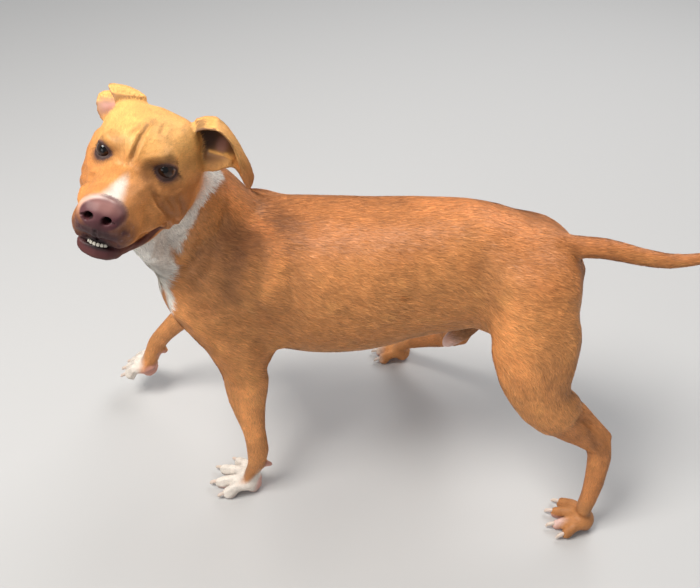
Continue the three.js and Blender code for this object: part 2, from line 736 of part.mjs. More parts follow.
// A paw in its own frame: 0 between the knuckles, +X along the toes, +Z up. Each toe is
// [yaw, reach], from the inner to the outer; its claw stands out of its end.
const KNUCKLE_RISE = 26; // of that point above the sole
const PAWS = {
  forepaw_left: {
    at: [46, 113, KNUCKLE_RISE],
    turn: { yaw: -4 },
    toes: [[-30, 48], [-11, 63], [8, 60], [26, 42]],
    limb: FORELEG.left,
    cut: CUT.forepaw.left,
  },
  forepaw_right: {
    at: [291, -74, 75],
    turn: { yaw: -8, pitch: 6 },
    toes: [[16, 36], [5, 43], [-6, 43], [-17, 37]],
    limb: FORELEG.right,
    cut: CUT.forepaw.right,
  },
  hindpaw_left: {
    at: [-496, 101, KNUCKLE_RISE],
    turn: { yaw: 0 },
    toes: [[-24, 42], [-8, 50], [10, 48], [26, 36]],
    limb: HOCK.left,
    cut: CUT.hindpaw.left,
  },
  hindpaw_right: {
    at: [-162, -242, KNUCKLE_RISE],
    turn: { yaw: -12 },
    toes: [[26, 38], [8, 48], [-12, 50], [-30, 42]],
    limb: HOCK.right,
    cut: CUT.hindpaw.right,
  },
};
const TOE_SPACING = 11;
const PAD_DROP = 2; // how far the pads are cut flat by the floor

function addPaw(name, { at, turn, toes, limb, cut }) {
  const frame = frameOf(at, turn);
  const outward = name.endsWith("left") ? 1 : -1;
  const sole = -KNUCKLE_RISE - PAD_DROP;
  let paw = join(
    outerOf(loft(limb, { sides: 8 }), cut),
    ball([-2, 0, -6], [21, 22, 15], frame, [8, 5]),
    ball([-6, 0, sole + 11], [15, 18, 11], frame, [7, 4]),
  );
  const claws = [];
  toes.forEach(([yaw, reach], i) => {
    const lateral = outward * (i - (toes.length - 1) / 2) * TOE_SPACING;
    const toeFrame = frame.clone().multiply(frameOf([0, lateral, 0], { yaw }));
    const placed = (joints) =>
      joints.map(([x, y, z, ...sizes]) => [...vec(x, y, z).applyMatrix4(toeFrame).toArray(), ...sizes]);
    const across = vec(0, 1, 0).transformDirection(toeFrame);
    const toe = placed([
      [-8, 0, -6, 8.5, 10],
      [0.34 * reach, 0, -3, 8, 11],
      [0.72 * reach, 0, -16.5, 8.3, 14],
      [reach - 5, 0, -18, 6.5, 9],
    ]);
    paw = paw.add(loft(toe, { across, sides: 6, rings: 1 }));
    const claw = placed([
      [reach - 6, 0, -13, 3.2, 4],
      [reach + CLAW_LENGTH / 3, 0, -16, 2.7, 3.4],
      [reach + (2 * CLAW_LENGTH) / 3, 0, -20, 1.3, 1.6],
    ]);
    claws.push((grow) => loft(claw, { across, sides: 5, rings: 1, grow }));
  });
  if (turn.pitch === undefined) paw = trim(paw, [0, 0, SOLE - SEAM / 2], [0, 0, 1]);
  claws.forEach((claw, i) => {
    paw = paw.subtract(claw(SEAM));
    addNode(`claw_${name}_${i + 1}`, claw(0), SHADES.claw, 0.4);
  });
  addNode(name, paw, SHADES.white);
}

const CARPAL_PAD = { left: [11, 108, 58], right: [252, -80, 104] };

function addForelegs() {
  for (const side of ["left", "right"]) {
    let solid = loft(FORELEG[side]).add(ball(CARPAL_PAD[side], [9, 8, 8], undefined, [6, 4]));
    solid = innerOf(outerOf(solid, CUT.foreleg[side]), CUT.forepaw[side]);
    addNode("foreleg_" + side, solid, SHADES.side);
  }
}

function addHindlegs() {
  for (const side of ["left", "right"]) {
    const low = Math.min(...THIGH[side].map(([x]) => x)) - 40;
    const [near, far] = side === "left" ? [0, 150] : [-190, 0];
    const region = { from: [low, near - 40, 150], to: [-180, far + 40, 420], cell: 21 };
    let thigh = outerOf(solidOf(polygonise(flesh, region)), CUT.haunch);
    thigh = innerOf(thigh, CUT.hock[side]);
    thigh = (side === "left" ? outerOf : innerOf)(thigh, CUT.middle);
    addNode("thigh_" + side, thigh, SHADES.side);
    let shank = join(loft(HOCK[side], { sides: 9 }), loft(TENDON[side], { sides: 7, rings: 1 }));
    shank = innerOf(outerOf(shank, CUT.hock[side]), CUT.hindpaw[side]);
    addNode("hock_" + side, shank, SHADES.side);
  }
}

for (const [name, layout] of Object.entries(PAWS)) addPaw(name, layout);
addTrunk();
addNeck();
addHead();
addTail();
addForelegs();
addHindlegs();

// ---- The group --------------------------------------------------------------------------------
const dog = new THREE.Group();
const box = new THREE.Box3();
for (const { name, solid, shade, roughness } of nodes) {
  const material = new THREE.MeshStandardMaterial({ color: shade, roughness, metalness: 0 });
  const mesh = new THREE.Mesh(geometryFrom(solid), material);
  mesh.name = name;
  dog.add(mesh);
  box.expandByObject(mesh);
}
const middle = box.getCenter(vec(0, 0, 0));
dog.position.set(-middle.x, -middle.y, -SOLE);
export default dog;
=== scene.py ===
"""A still, life-size short-coated dog: one skin with its coat, eyes, teeth and claws on a fixed frame."""

import math

import bmesh
import bpy
import numpy as np
from bpy.props import FloatProperty, FloatVectorProperty, IntProperty, PointerProperty
from bpy.types import Operator, Panel, PropertyGroup
from mathutils import Matrix, Vector, bvhtree, kdtree


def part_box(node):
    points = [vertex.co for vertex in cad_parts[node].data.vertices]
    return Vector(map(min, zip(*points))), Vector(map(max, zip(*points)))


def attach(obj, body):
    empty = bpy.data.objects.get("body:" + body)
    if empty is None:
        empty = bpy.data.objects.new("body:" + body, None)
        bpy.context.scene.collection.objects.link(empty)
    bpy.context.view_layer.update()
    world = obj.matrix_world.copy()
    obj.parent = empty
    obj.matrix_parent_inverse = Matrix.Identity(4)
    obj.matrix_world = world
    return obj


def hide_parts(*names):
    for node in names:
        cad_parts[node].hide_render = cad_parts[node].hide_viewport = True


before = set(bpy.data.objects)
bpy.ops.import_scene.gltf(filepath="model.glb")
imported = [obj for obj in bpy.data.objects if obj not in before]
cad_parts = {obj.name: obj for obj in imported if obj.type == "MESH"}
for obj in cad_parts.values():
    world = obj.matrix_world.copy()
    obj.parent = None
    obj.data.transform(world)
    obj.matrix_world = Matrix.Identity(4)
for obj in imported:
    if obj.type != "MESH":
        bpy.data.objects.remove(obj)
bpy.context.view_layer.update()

bl_info = {
    "name": "Standing dog",
    "version": (1, 0, 0),
    "blender": (4, 5, 0),
    "location": "View3D > Sidebar > Dog",
    "description": "Skin, coat, eyes, teeth and claws of a life-size standing dog",
    "category": "Add Mesh",
}

MM = 0.001
TINT = "Hide"  # the colour attribute of skin, coat and eyes

# The head's own axes: x towards the nose, y towards the dog's left ear, z up through the skull.
HEAD_YAW, HEAD_PITCH, HEAD_ROLL = (math.radians(angle) for angle in (96.2, -16.3, -17.9))
HEAD_TURN = (
    Matrix.Rotation(HEAD_YAW, 3, "Z")
    @ Matrix.Rotation(HEAD_PITCH, 3, "Y")
    @ Matrix.Rotation(HEAD_ROLL, 3, "X")
)
EYE_SET_BACK = 10  # mm, from the head's origin back to the middle between the eyeballs
HEAD_IN_BODY = (108, 180, 656)  # mm, the head's origin in the body's frame


def middle(node):
    """The middle of a node's box."""
    low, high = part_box(node)
    return (low + high) / 2


BETWEEN_EYES = (middle("eye_left") + middle("eye_right")) / 2
HEAD_AT = BETWEEN_EYES + HEAD_TURN @ Vector((EYE_SET_BACK * MM, 0, 0))
BODY_AT = HEAD_AT - Vector(HEAD_IN_BODY) * MM

LEGS = ("foreleg_left", "foreleg_right", "thigh_left", "thigh_right", "hock_left", "hock_right")
PAWS = ("forepaw_left", "forepaw_right", "hindpaw_left", "hindpaw_right")
FLESH = ("trunk", "neck", "head", "lower_jaw", "nose", "ear_left", "ear_right", "tail", *LEGS, *PAWS)
EYES = ("eye_left", "eye_right")
CLAWS = tuple(name for name in sorted(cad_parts) if name.startswith("claw"))
HEAD_PARTS = ("head", "lower_jaw", "nose", "ear_left", "ear_right")


def by_part(values):
    """A table of every part of the flesh, from one where a paired part stands once for left and right."""
    return {
        name: value
        for kind, value in values.items()
        for name in FLESH
        if name in (kind, kind + "_left", kind + "_right")
    }


# How far, in mm, the skin's surface is evened out over each part.
EVENNESS = by_part({
    "trunk": 12, "neck": 10, "head": 5, "lower_jaw": 4, "nose": 3, "ear": 2.4, "tail": 6, "foreleg": 6,
    "thigh": 9, "hock": 5, "forepaw": 2.6, "hindpaw": 2.6,
})
# How deep, in mm, the coat is on each part, so how far the skin lies inside the frame.
COAT_DEPTH = by_part({
    "trunk": 2.2, "neck": 2.2, "head": 0.9, "lower_jaw": 0.5, "nose": 0, "ear": 0.3, "tail": 1.8,
    "foreleg": 1.4, "thigh": 1.8, "hock": 1.2, "forepaw": 0.5, "hindpaw": 0.5,
})
# The coat of each part, in mm: a tuft's length and width, and the space between tufts.
TUFTS = by_part({
    "trunk": (15, 1.3, 2.0), "neck": (13, 1.2, 1.9), "head": (4.6, 0.62, 1.1), "lower_jaw": (4.0, 0.6, 1.2),
    "nose": (0, 0, 0), "ear": (6, 0.8, 1.5), "tail": (13, 1.2, 1.9), "foreleg": (9, 1.0, 1.7),
    "thigh": (12, 1.2, 1.9), "hock": (8, 1.0, 1.6), "forepaw": (4.5, 0.7, 1.5), "hindpaw": (4.5, 0.7, 1.5),
})
# The lines that the hair follows on each part, from its root to its tip, in mm: in the head's frame on the
# ears, and in the body's frame elsewhere.
LIE_LINES = {
    "trunk": [(200, 0, 430), (-100, 0, 420), (-420, 0, 440)],
    "neck": [(117, 126, 630), (130, 108, 589), (116, 24, 497), (78, 6, 428), (20, 0, 390)],
    "tail": [(-380, 0, 468), (-668, 0, 498)],
    "ear_left": [(-70, 50, 36), (-80, 84, 46), (-84, 104, 22), (-88, 126, -15)],
    "ear_right": [(-68, -46, 24), (-76, -52, 46), (-92, -56, 56), (-121, -42, 46)],
    "foreleg_left": [(45, 84, 330), (39, 92, 240), (31, 106, 135), (32, 113, 60), (44, 114, 30)],
    "foreleg_right": [(106, -76, 350), (136, -81, 264), (192, -82, 203), (264, -80, 118), (293, -73, 66)],
    "thigh_left": [(-350, 40, 480), (-380, 80, 350), (-400, 92, 275), (-440, 92, 224)],
    "thigh_right": [(-340, -50, 470), (-320, -88, 345), (-286, -112, 280), (-274, -150, 200)],
    "hock_left": [(-412, 92, 250), (-498, 80, 166), (-502, 88, 125), (-494, 102, 38)],
    "hock_right": [(-281, -126, 248), (-256, -182, 118), (-221, -201, 90), (-162, -237, 34)],
    "forepaw_left": [(30, 113, 60), (46, 113, 40), (110, 110, 10)],
    "forepaw_right": [(270, -76, 110), (291, -74, 80), (345, -80, 55)],
    "hindpaw_left": [(-500, 99, 60), (-490, 101, 40), (-430, 101, 10)],
    "hindpaw_right": [(-180, -235, 60), (-162, -242, 40), (-105, -254, 10)],
}


class DogSizes(PropertyGroup):
    """Sizes of the skin, the coat and the small pieces."""

    voxel: FloatProperty(
        name="Skin grain", description="Grid the skin is first cut from", default=2.2 * MM, unit="LENGTH"
    )
    kept_faces: FloatProperty(
        name="Kept faces", description="Share of the skin's faces kept", default=0.32, subtype="FACTOR"
    )
    eye_radius: FloatProperty(
        name="Eyeball radius", description="Radius of each eyeball", default=11.4 * MM, unit="LENGTH"
    )
    iris_radius: FloatProperty(
        name="Iris radius", description="Radius of the coloured ring", default=9.2 * MM, unit="LENGTH"
    )
    hair_lift: FloatProperty(
        name="Hair lift", description="Most that a tuft's tip stands off", default=1.1 * MM, unit="LENGTH"
    )
    seed: IntProperty(name="Seed", description="Start of every random draw", default=7)
    floor_size: FloatProperty(
        name="Floor size", description="Side of the floor", default=14.0, unit="LENGTH"
    )


def colour(name, about, default):
    """A colour property."""
    return FloatVectorProperty(name=name, description=about, subtype="COLOR", default=default)


class DogColours(PropertyGroup):
    """Colours of the skin and the coat."""

    tan: colour("Tan", "Coat of the sides and legs", (0.62, 0.26, 0.082))
    red: colour("Red brown", "Coat of the back", (0.46, 0.155, 0.045))
    gold: colour("Gold", "Coat of the forehead and ear tops", (0.90, 0.475, 0.14))
    cheek: colour("Cheek", "Coat of the cheeks", (0.66, 0.27, 0.075))
    pale: colour("Pale", "Thin coat of the inner limbs and belly", (0.66, 0.40, 0.20))
    white: colour("White", "White markings", (0.80, 0.75, 0.68))
    pink: colour("Pink", "Bare skin and pads", (0.55, 0.27, 0.22))
    blush: colour("Blush", "Thin white hair over pink skin", (0.70, 0.50, 0.47))
    # Brown in the ears' hollows is partly hair and partly painted shade.
    brown: colour("Brown", "Hair inside the ears and on the paws", (0.20, 0.085, 0.035))
    rim: colour("Eye rim", "Bare rim of the lids", (0.115, 0.048, 0.036))
    # Dark is laid as dark hair round the eyes, and as painted shade along creases and grooves and in the
    # right ear's hollow.
    dark: colour("Dark hair", "Hair round the eyes and in the folds", (0.15, 0.055, 0.022))
    nose: colour("Nose", "Leather of the nose", (0.098, 0.029, 0.034))
    lip: colour("Lip", "Bare lip", (0.074, 0.014, 0.018))
    # Hollow is painted shade: near black, in the nostrils, the mouth, the ears' hollows, under the nose, at
    # the lids and in the groin.
    hollow: colour("Hollow", "Inside of the mouth and nostrils", (0.012, 0.005, 0.005))
    eye: colour("Iris", "Iris", (0.030, 0.012, 0.006))
    tooth: colour("Tooth", "Teeth", (0.62, 0.57, 0.48))
    claw: colour("Claw", "Claws", (0.62, 0.50, 0.42))
    floor: colour("Floor", "Floor", (0.50, 0.495, 0.49))


def tint_vertices(mesh, tints):
    """Writes a colour on each vertex, as the attribute that the materials read."""
    values = np.c_[tints, np.ones(len(tints))]
    data = mesh.attributes.new(TINT, "FLOAT_COLOR", "POINT").data
    data.foreach_set("color", np.ascontiguousarray(values, np.float32).ravel())


def places(mesh):
    """The mesh's vertices as rows of numbers."""
    rows = np.zeros(len(mesh.vertices) * 3, np.float32)
    mesh.vertices.foreach_get("co", rows)
    return rows.reshape(-1, 3).astype(float)


def put(mesh, rows):
    """Moves the mesh's vertices to these rows of numbers."""
    mesh.vertices.foreach_set("co", rows.astype(np.float32).ravel())
    mesh.update()


def normals_of(mesh):
    """The mesh's vertex normals as rows of numbers."""
    rows = np.zeros(len(mesh.vertices) * 3, np.float32)
    mesh.vertex_normals.foreach_get("vector", rows)
    return rows.reshape(-1, 3).astype(float)


def links_of(mesh):
    """The two ends of each edge."""
    ends = np.zeros(len(mesh.edges) * 2, np.int32)
    mesh.edges.foreach_get("vertices", ends)
    return ends.reshape(-1, 2)


def evened(values, links, rounds, share):
    """Values drawn towards the mean of their neighbours, by each vertex's own share, a number of times."""
    count = len(values)
    near, far = links[:, 0], links[:, 1]
    degree = np.bincount(links.ravel(), minlength=count).clip(1)[:, None]
    values = values.copy()
    for _ in range(rounds):
        total = np.empty_like(values)
        for column in range(values.shape[1]):
            drawn = values[:, column]
            total[:, column] = np.bincount(near, drawn[far], count) + np.bincount(far, drawn[near], count)
        values += share[:, None] * (total / degree - values)
    return values


def smooth_step(low, high, x):
    """0 below low, 1 above high, and an S-curve between."""
    t = ((x - low) / (high - low)).clip(0, 1)
    return t * t * (3 - 2 * t)


def bell(distance, width):
    """1 at no distance, falling off as a bell curve of this width."""
    return np.exp(-((distance / width) ** 2))


def unit(rows):
    """Rows scaled to length 1."""
    return rows / np.linalg.norm(rows, axis=1, keepdims=True).clip(1e-9)


def in_head(rows):
    """Places in the head's frame, in mm."""
    return (rows - np.array(HEAD_AT)) @ np.array(HEAD_TURN) / MM


def from_head(rows):
    """Places from the head's frame, in mm, to the model's, in metres."""
    return rows * MM @ np.array(HEAD_TURN).T + np.array(HEAD_AT)


def in_body(rows):
    """Places in the body's frame, in mm."""
    return (rows - np.array(BODY_AT)) / MM


def to_line(rows, points):
    """Distance of each row from a line through the points, and how far along it its foot lies, 0 to 1."""
    points = np.array(points, float)
    lengths = np.linalg.norm(np.diff(points, axis=0), axis=1)
    starts = np.concatenate([[0], np.cumsum(lengths)])
    best = np.full(len(rows), 1e9)
    along = np.zeros(len(rows))
    for index, length in enumerate(lengths):
        step = points[index + 1] - points[index]
        t = ((rows - points[index]) @ step / length**2).clip(0, 1)
        distance = np.linalg.norm(rows - points[index] - t[:, None] * step, axis=1)
        closer = distance < best
        best = np.where(closer, distance, best)
        along = np.where(closer, (starts[index] + t * length) / starts[-1], along)
    return best, along


def as_mesh(made, name):
    """A mesh of what was made, which is then let go."""
    mesh = bpy.data.meshes.new(name)
    made.to_mesh(mesh)
    made.free()
    return mesh


def merged(name, growth):
    """A frame node's mesh with its doubles merged, swollen along its normals by the growth."""
    part = bmesh.new()
    part.from_mesh(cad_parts[name].data)
    bmesh.ops.remove_doubles(part, verts=part.verts, dist=0.01 * MM)
    part.normal_update()
    for vertex in part.verts:
        vertex.co += vertex.normal * growth
    return as_mesh(part, name + "_merged")


def show(mesh, name):
    """An object at the origin that shows the mesh."""
    piece = bpy.data.objects.new(name, mesh)
    bpy.context.scene.collection.objects.link(piece)
    return piece


def applied(piece):
    """The piece's mesh with its modifiers applied, which takes the old mesh's place."""
    graph = bpy.context.evaluated_depsgraph_get()
    mesh = bpy.data.meshes.new_from_object(piece.evaluated_get(graph))
    piece.modifiers.clear()
    old = piece.data
    piece.data = mesh
    bpy.data.meshes.remove(old)
    return mesh


def nearest_part(rows):
    """For each row, the number of the flesh node whose surface is nearest."""
    samples = []
    for number, name in enumerate(FLESH):
        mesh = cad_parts[name].data
        corners = places(mesh)
        spots = [corners]
        loops = np.zeros(len(mesh.loops), np.int32)
        mesh.loops.foreach_get("vertex_index", loops)
        faces = corners[loops.reshape(-1, 3)]
        spots.append(faces.mean(1))
        spots.append((faces + np.roll(faces, 1, axis=1)).reshape(-1, 3) / 2)
        samples.append((number, np.concatenate(spots)))
    tree = kdtree.KDTree(sum(len(spots) for _, spots in samples))
    owner = []
    for number, spots in samples:
        for spot in spots:
            tree.insert(spot, len(owner))
            owner.append(number)
    tree.balance()
    owner = np.array(owner)
    return owner[[tree.find(row)[1] for row in rows]]


# Where a limb runs into its paw, in the body's frame: the middle and the reach, in mm.
ANKLES = [
    ((-494, 114, 46), (42, 40, 38)),
    ((38, 113, 46), (30, 30, 26)),
    ((-166, -246, 46), (36, 36, 34)),
]
ANKLE_ROUNDS = 70  # of evening there
BLUR_ROUNDS = 12  # of evening of the evenness itself, across the borders of parts
FLESH_GROWTH = 0.4 * MM  # closes the gaps between neighbours before they become one surface
HALF = 0.5  # the most that one round of evening draws a value towards its neighbours' mean


def build_base(sizes):
    """The flesh of the frame as one even surface."""
    whole = bmesh.new()
    for name in (*FLESH, *EYES):
        mesh = merged(name, FLESH_GROWTH)
        whole.from_mesh(mesh)
        bpy.data.meshes.remove(mesh)
    skin = show(as_mesh(whole, "skin"), "skin")
    remesh = skin.modifiers.new("one_surface", "REMESH")
    remesh.mode = "VOXEL"
    remesh.voxel_size = sizes.voxel
    mesh = applied(skin)
    rows = places(mesh)
    links = links_of(mesh)
    part = nearest_part(rows)
    blur = np.array([EVENNESS[name] for name in FLESH], float)[part][:, None]
    blur = evened(blur, links, BLUR_ROUNDS, np.full(len(rows), HALF))[:, 0]
    most = max(EVENNESS.values())
    rounds = round(2 * (most * MM / sizes.voxel) ** 2)
    share = HALF * (blur / most) ** 2
    once = evened(rows, links, rounds, share)
    again = once + evened(rows - once, links, rounds, share)
    body = in_body(again)
    ankle = np.maximum.reduce([patch(body, place, reach, 0.7) for place, reach in ANKLES])
    again = evened(again, links, ANKLE_ROUNDS, HALF * ankle)
    put(mesh, again)
    return skin


def shares_of(part, links, rounds):
    """Each vertex's share in every part, blended across the borders."""
    own = np.eye(len(FLESH))[part]
    return evened(own, links, rounds, np.full(len(part), HALF))


def weighted(table, shares, column=None):
    """A value per part, blended by the vertices' shares."""
    values = [table[name] if column is None else table[name][column] for name in FLESH]
    return shares @ np.array(values, float)


def thinned(skin, share):
    """Fewer, larger faces on the body, with the head, ears and paws left as fine as they are."""
    part = nearest_part(places(skin.data))
    fine = np.array([name in (*HEAD_PARTS, *PAWS) for name in FLESH])
    group = skin.vertex_groups.new(name="fine")
    group.add(np.flatnonzero(fine[part]).tolist(), 1.0, "REPLACE")
    decimate = skin.modifiers.new("fewer_faces", "DECIMATE")
    decimate.ratio = share
    decimate.vertex_group = group.name
    decimate.invert_vertex_group = True
    decimate.vertex_group_factor = 100
    mesh = applied(skin)
    skin.vertex_groups.clear()
    return mesh


# The lids, the nose and the corner of the mouth, each a place in the head's frame and a reach, in mm.
FINE_SPOTS = [
    ((-2, 42, 0), 26), ((-2, -42, 0), 26), ((84, 2, -58), 36), ((20, 36, -80), 26), ((-20, 40, -80), 18),
]


def refined(mesh):
    """The skin with the faces near each fine spot divided in four."""
    dense = bmesh.new()
    dense.from_mesh(mesh)
    for centre, reach in FINE_SPOTS:
        spot = Vector(from_head(np.array([centre], float))[0])
        edges = [
            edge for edge in dense.edges if any((end.co - spot).length < reach * MM for end in edge.verts)
        ]
        bmesh.ops.subdivide_edges(dense, edges=edges, cuts=1, use_grid_fill=True, smooth=0.0)
        bmesh.ops.triangulate(dense, faces=[face for face in dense.faces if len(face.verts) > 3])
    dense.to_mesh(mesh)
    dense.free()


EYE_APART = 35  # mm, from the head's middle plane to an eyeball's centre
LID_YAW = math.radians(24)  # how far each eye's opening faces outwards
LID_CANT = math.radians(4)  # the outer corner sits a little lower than the inner one
LID_HALF_WIDTH, LID_UP, LID_DOWN = 13.8, 9.2, 10.4  # mm, the opening's reach to the sides, up and down
LID_POINT = 1.75  # under 2, so that the opening's corners are drawn to points
LID_THICK = 1.9  # mm
LID_GAP = 0.25  # mm, between the eyeball and a lid's inner face
LID_TUCK = 1.4  # mm, how deep in the ball the skin hides within the opening
LID_EDGE, LID_CREST, LID_END = 0.98, 1.22, 2.3  # in the shares of the opening that almond gives
LID_BARE = 1.3  # in the same shares, how far out no hair grows


def eye_frame(side):
    """An eyeball's centre and its axes forwards, outwards and up, in the head's frame."""
    centre = np.array([-EYE_SET_BACK, side * EYE_APART, 0.0])
    forwards = np.array([math.cos(LID_YAW), side * math.sin(LID_YAW), 0])
    outwards = np.array([-math.sin(LID_YAW), side * math.cos(LID_YAW), 0])
    upwards = np.array([0, 0, 1.0])
    tilt = math.cos(LID_CANT) * outwards - math.sin(LID_CANT) * upwards
    upwards = math.cos(LID_CANT) * upwards + math.sin(LID_CANT) * outwards
    return centre, forwards, tilt, upwards


def almond(head, side):
    """How far out of the eye's opening each place lies, 1 on the lid's edge, and how far before the eye."""
    centre, forwards, outwards, upwards = eye_frame(side)
    away = head - centre
    front, across, up = away @ forwards, away @ outwards, away @ upwards
    height = np.where(up > 0, LID_UP, LID_DOWN)
    far = (np.abs(across / LID_HALF_WIDTH) ** LID_POINT + np.abs(up / height) ** LID_POINT) ** (1 / LID_POINT)
    return np.where(front > 0, far, 9.0), front


def set_lids(head, radius, side):
    """Skin round one eye: hidden inside the ball within the opening, and a rounded lid round it."""
    centre = eye_frame(side)[0]
    far, front = almond(head, side)
    away = head - centre
    distance = np.linalg.norm(away, axis=1)
    way = away / distance[:, None].clip(1e-6)
    lid = radius + LID_GAP + LID_THICK * smooth_step(LID_EDGE, LID_CREST, far) ** 0.5
    lid = np.where(far < LID_EDGE, radius - LID_TUCK, lid)
    hold = 1 - smooth_step(LID_CREST, LID_END, far)
    hold = np.where(front > 0, hold, 0)
    aim = distance * (1 - hold) + lid * hold
    aim = np.where(far < LID_CREST, lid, np.maximum(aim, radius + LID_GAP))
    aim = np.where(far < LID_END, aim, distance)
    return centre + way * aim[:, None]


def mirrored(line):
    """A line of the left side on the right side."""
    return [(x, -y, z) for x, y, z in line]


# Lines that both press the skin and shade the hair: of the face in the head's frame, then of the body.
UNDER_EYE = [(15, 33, -15), (9, 41, -19), (-1, 48, -22), (-10, 54, -19), (-17, 59, -15)]
CHEEK_FRONT = [(19, 32, -19), (16, 37, -27), (13, 43, -36), (-3, 51, -48), (-16, 57, -55)]
CHEEK_BACK = [(-12, 56, -27), (-20, 61, -38), (-32, 64, -51), (-38, 61, -65), (-27, 54, -69)]
NECK_CREASE = [(52, 60, 530), (57, 67, 493), (80, 80, 474), (104, 77, 445), (118, 76, 410)]
LOWER_CREASE = [(58, 73, 482), (74, 82, 453), (93, 81, 426), (111, 78, 396)]
BLADE_FRONT = [(37, 58, 490), (39, 77, 471), (48, 87, 451), (53, 93, 425), (56, 96, 400)]
BLADE_BACK = [(-24, 40, 488), (-40, 70, 462), (-44, 88, 425), (-36, 95, 385), (-22, 96, 345)]
FLANK = [(-276, 50, 500), (-292, 64, 476), (-303, 74, 447), (-308, 83, 412), (-304, 84, 385)]
HOCK_HOLLOW = [(-476, 98, 214), (-490, 96, 190), (-500, 92, 174)]

# Folds of the face: a line in the head's frame, its depth, its width and how much its banks swell, in mm.
FACE_FOLDS = [
    ([(-25, 5, 44), (-17, 3, 41), (-7, 3, 37), (7, 2, 25), (12, 1, 10), (13, -1, 0)], 2.6, 2.6, 1.0),
    ([(-27, 0, 45), (-18, -3, 42), (-8, -4, 37), (-2, -8, 33), (2, -10, 30)], 1.3, 2.4, 0.6),
    ([(-33, 18, 44), (-22, 19, 40), (-11, 20, 35)], 1.0, 3.0, 0.4),
    (UNDER_EYE, 1.3, 2.4, 0.7),
    (CHEEK_FRONT, 2.8, 3.6, 1.6),
    (CHEEK_BACK, 2.8, 3.2, 1.6),
    ([(10, 36, -66), (-6, 44, -62), (-20, 50, -66), (-30, 51, -75), (-32, 47, -86)], 3.0, 3.0, 2.0),
    ([(-18, 55, -55), (-30, 56, -64), (-40, 54, -76), (-42, 48, -88)], 2.4, 3.0, 1.6),
    ([(0, 47, -29), (-7, 53, -39), (-15, 58, -48)], 1.4, 3.0, 0.8),
    (mirrored(UNDER_EYE[:4]), 1.2, 2.4, 0.6),
    (mirrored(CHEEK_FRONT), 1.6, 4.0, 1.0),
    (mirrored(CHEEK_BACK[:4]), 1.6, 3.6, 1.0),
    ([(99, 1, -46), (102, 2, -54), (92, 2, -64), (80, 2, -72)], 2.2, 1.6, 0.8),
    ([(-72, 62, 14), (-74, 74, 14), (-76, 88, 15), (-80, 98, 10)], -4.0, 6.0, 0.0),
]
# The left half of the line between the lips, and of the lower lip's edge, in the head's frame, in mm.
MOUTH_LINE = [
    (78, 2, -76), (78, 13, -77), (72, 23, -77), (60, 28, -79), (28, 31, -82), (-2, 36, -81),
    (-18, 40, -78), (-27, 46, -75),
]
LIP_EDGE = [
    (77, 2, -95), (74, 17, -93), (61, 24, -90), (33, 27, -94), (11, 30, -95), (-12, 36, -92), (-27, 44, -84),
]
MOUTH_DEPTH, MOUTH_WIDTH = 6.0, 1.9  # mm, of the slit between the lips
# Folds of the body, in the same terms, in its frame. A fold of less than no depth is a ridge.
BODY_FOLDS = [
    (NECK_CREASE, 3.0, 7, 2.0),
    (LOWER_CREASE, 2.4, 6, 1.6),
    ([(62, 98, 552), (77, 99, 524), (96, 92, 495), (112, 84, 465), (128, 72, 430)], 2.6, 6, 1.6),
    ([(6, 46, 485), (-6, 58, 478), (-15, 74, 462), (-12, 85, 441), (-3, 94, 411), (8, 98, 380)], -2.8, 13, 0),
    (BLADE_FRONT, 3.0, 12, 1.0),
    (BLADE_BACK, 2.2, 15, 0.8),
    (FLANK, 2.8, 15, 1.2),
    (mirrored(FLANK), 2.8, 15, 1.2),
    (HOCK_HOLLOW, 3.0, 6, 0.6),
]
# Painted shade in creases and grooves, with some dark hair by the eyes: a line, its width in mm and its
# amount; on the head in its frame, then on the body.
FACE_SHADES = [
    ([(-25, 5, 44), (-7, 3, 37), (7, 2, 25), (13, 0, 4)], 4.0, 0.42),
    ([(-27, 0, 45), (-8, -4, 37), (2, -10, 30)], 3.5, 0.2),
    ([(15, 17, -8), (13, 19, 2), (9, 24, 9), (5, 31, 15), (-1, 40, 18)], 7.5, 0.5),
    ([(17, 20, -16), (14, 22, -4)], 8.0, 0.35),
    ([(1, -31, 22), (9, -22, 18), (13, -17, 6)], 7.5, 0.42),
    ([(18, 33, -20), (10, 42, -27), (-4, 52, -34)], 8.0, 0.22),
    (CHEEK_FRONT[2:], 6.0, 0.28),
    ([(-8, 57, -26), (-20, 61, -38), (-32, 64, -51), (-38, 61, -65)], 6.0, 0.32),
    ([(-18, 58, 6), (-34, 62, 8), (-50, 64, 10)], 10.0, 0.18),
]
SHADES_OF_FORM = [
    (NECK_CREASE, 9, 0.35),
    (LOWER_CREASE, 7, 0.22),
    ([(4, 72, 466), (0, 93, 414), (10, 94, 358), (24, 101, 305)], 16, 0.16),
    ([(-300, 60, 330), (-340, 80, 300), (-360, 88, 260)], 18, 0.18),
    (HOCK_HOLLOW, 8, 0.4),
    (BLADE_FRONT, 16, 0.42),
    ([(19, -4, 497), (2, 15, 495), (-13, 33, 492)], 16, 0.32),
    (BLADE_BACK, 18, 0.16),
    (FLANK[1:], 18, 0.32),
    ([(-391, 114, 361), (-415, 113, 336), (-439, 94, 288)], 22, 0.22),
    ([(44, 84, 230), (34, 96, 150), (26, 110, 70)], 12, 0.25),
]
# Painted highlights on the body, where light catches bone and muscle, in the same terms.
LIGHTS_OF_FORM = [
    ([(24, 43, 491), (6, 46, 485), (-6, 58, 478), (-15, 74, 462), (-12, 85, 441), (-3, 94, 411)], 11, 0.45),
    ([(44, 44, 532), (30, 52, 520), (22, 50, 505)], 20, 0.5),
    ([(38, 112, 230), (34, 116, 180), (28, 118, 140)], 13, 0.4),
    ([(-217, -15, 514), (-258, -1, 520), (-319, 0, 510), (-340, 10, 503)], 26, 0.3),
    ([(-330, 98, 400), (-345, 108, 370), (-350, 110, 340)], 26, 0.24),
]


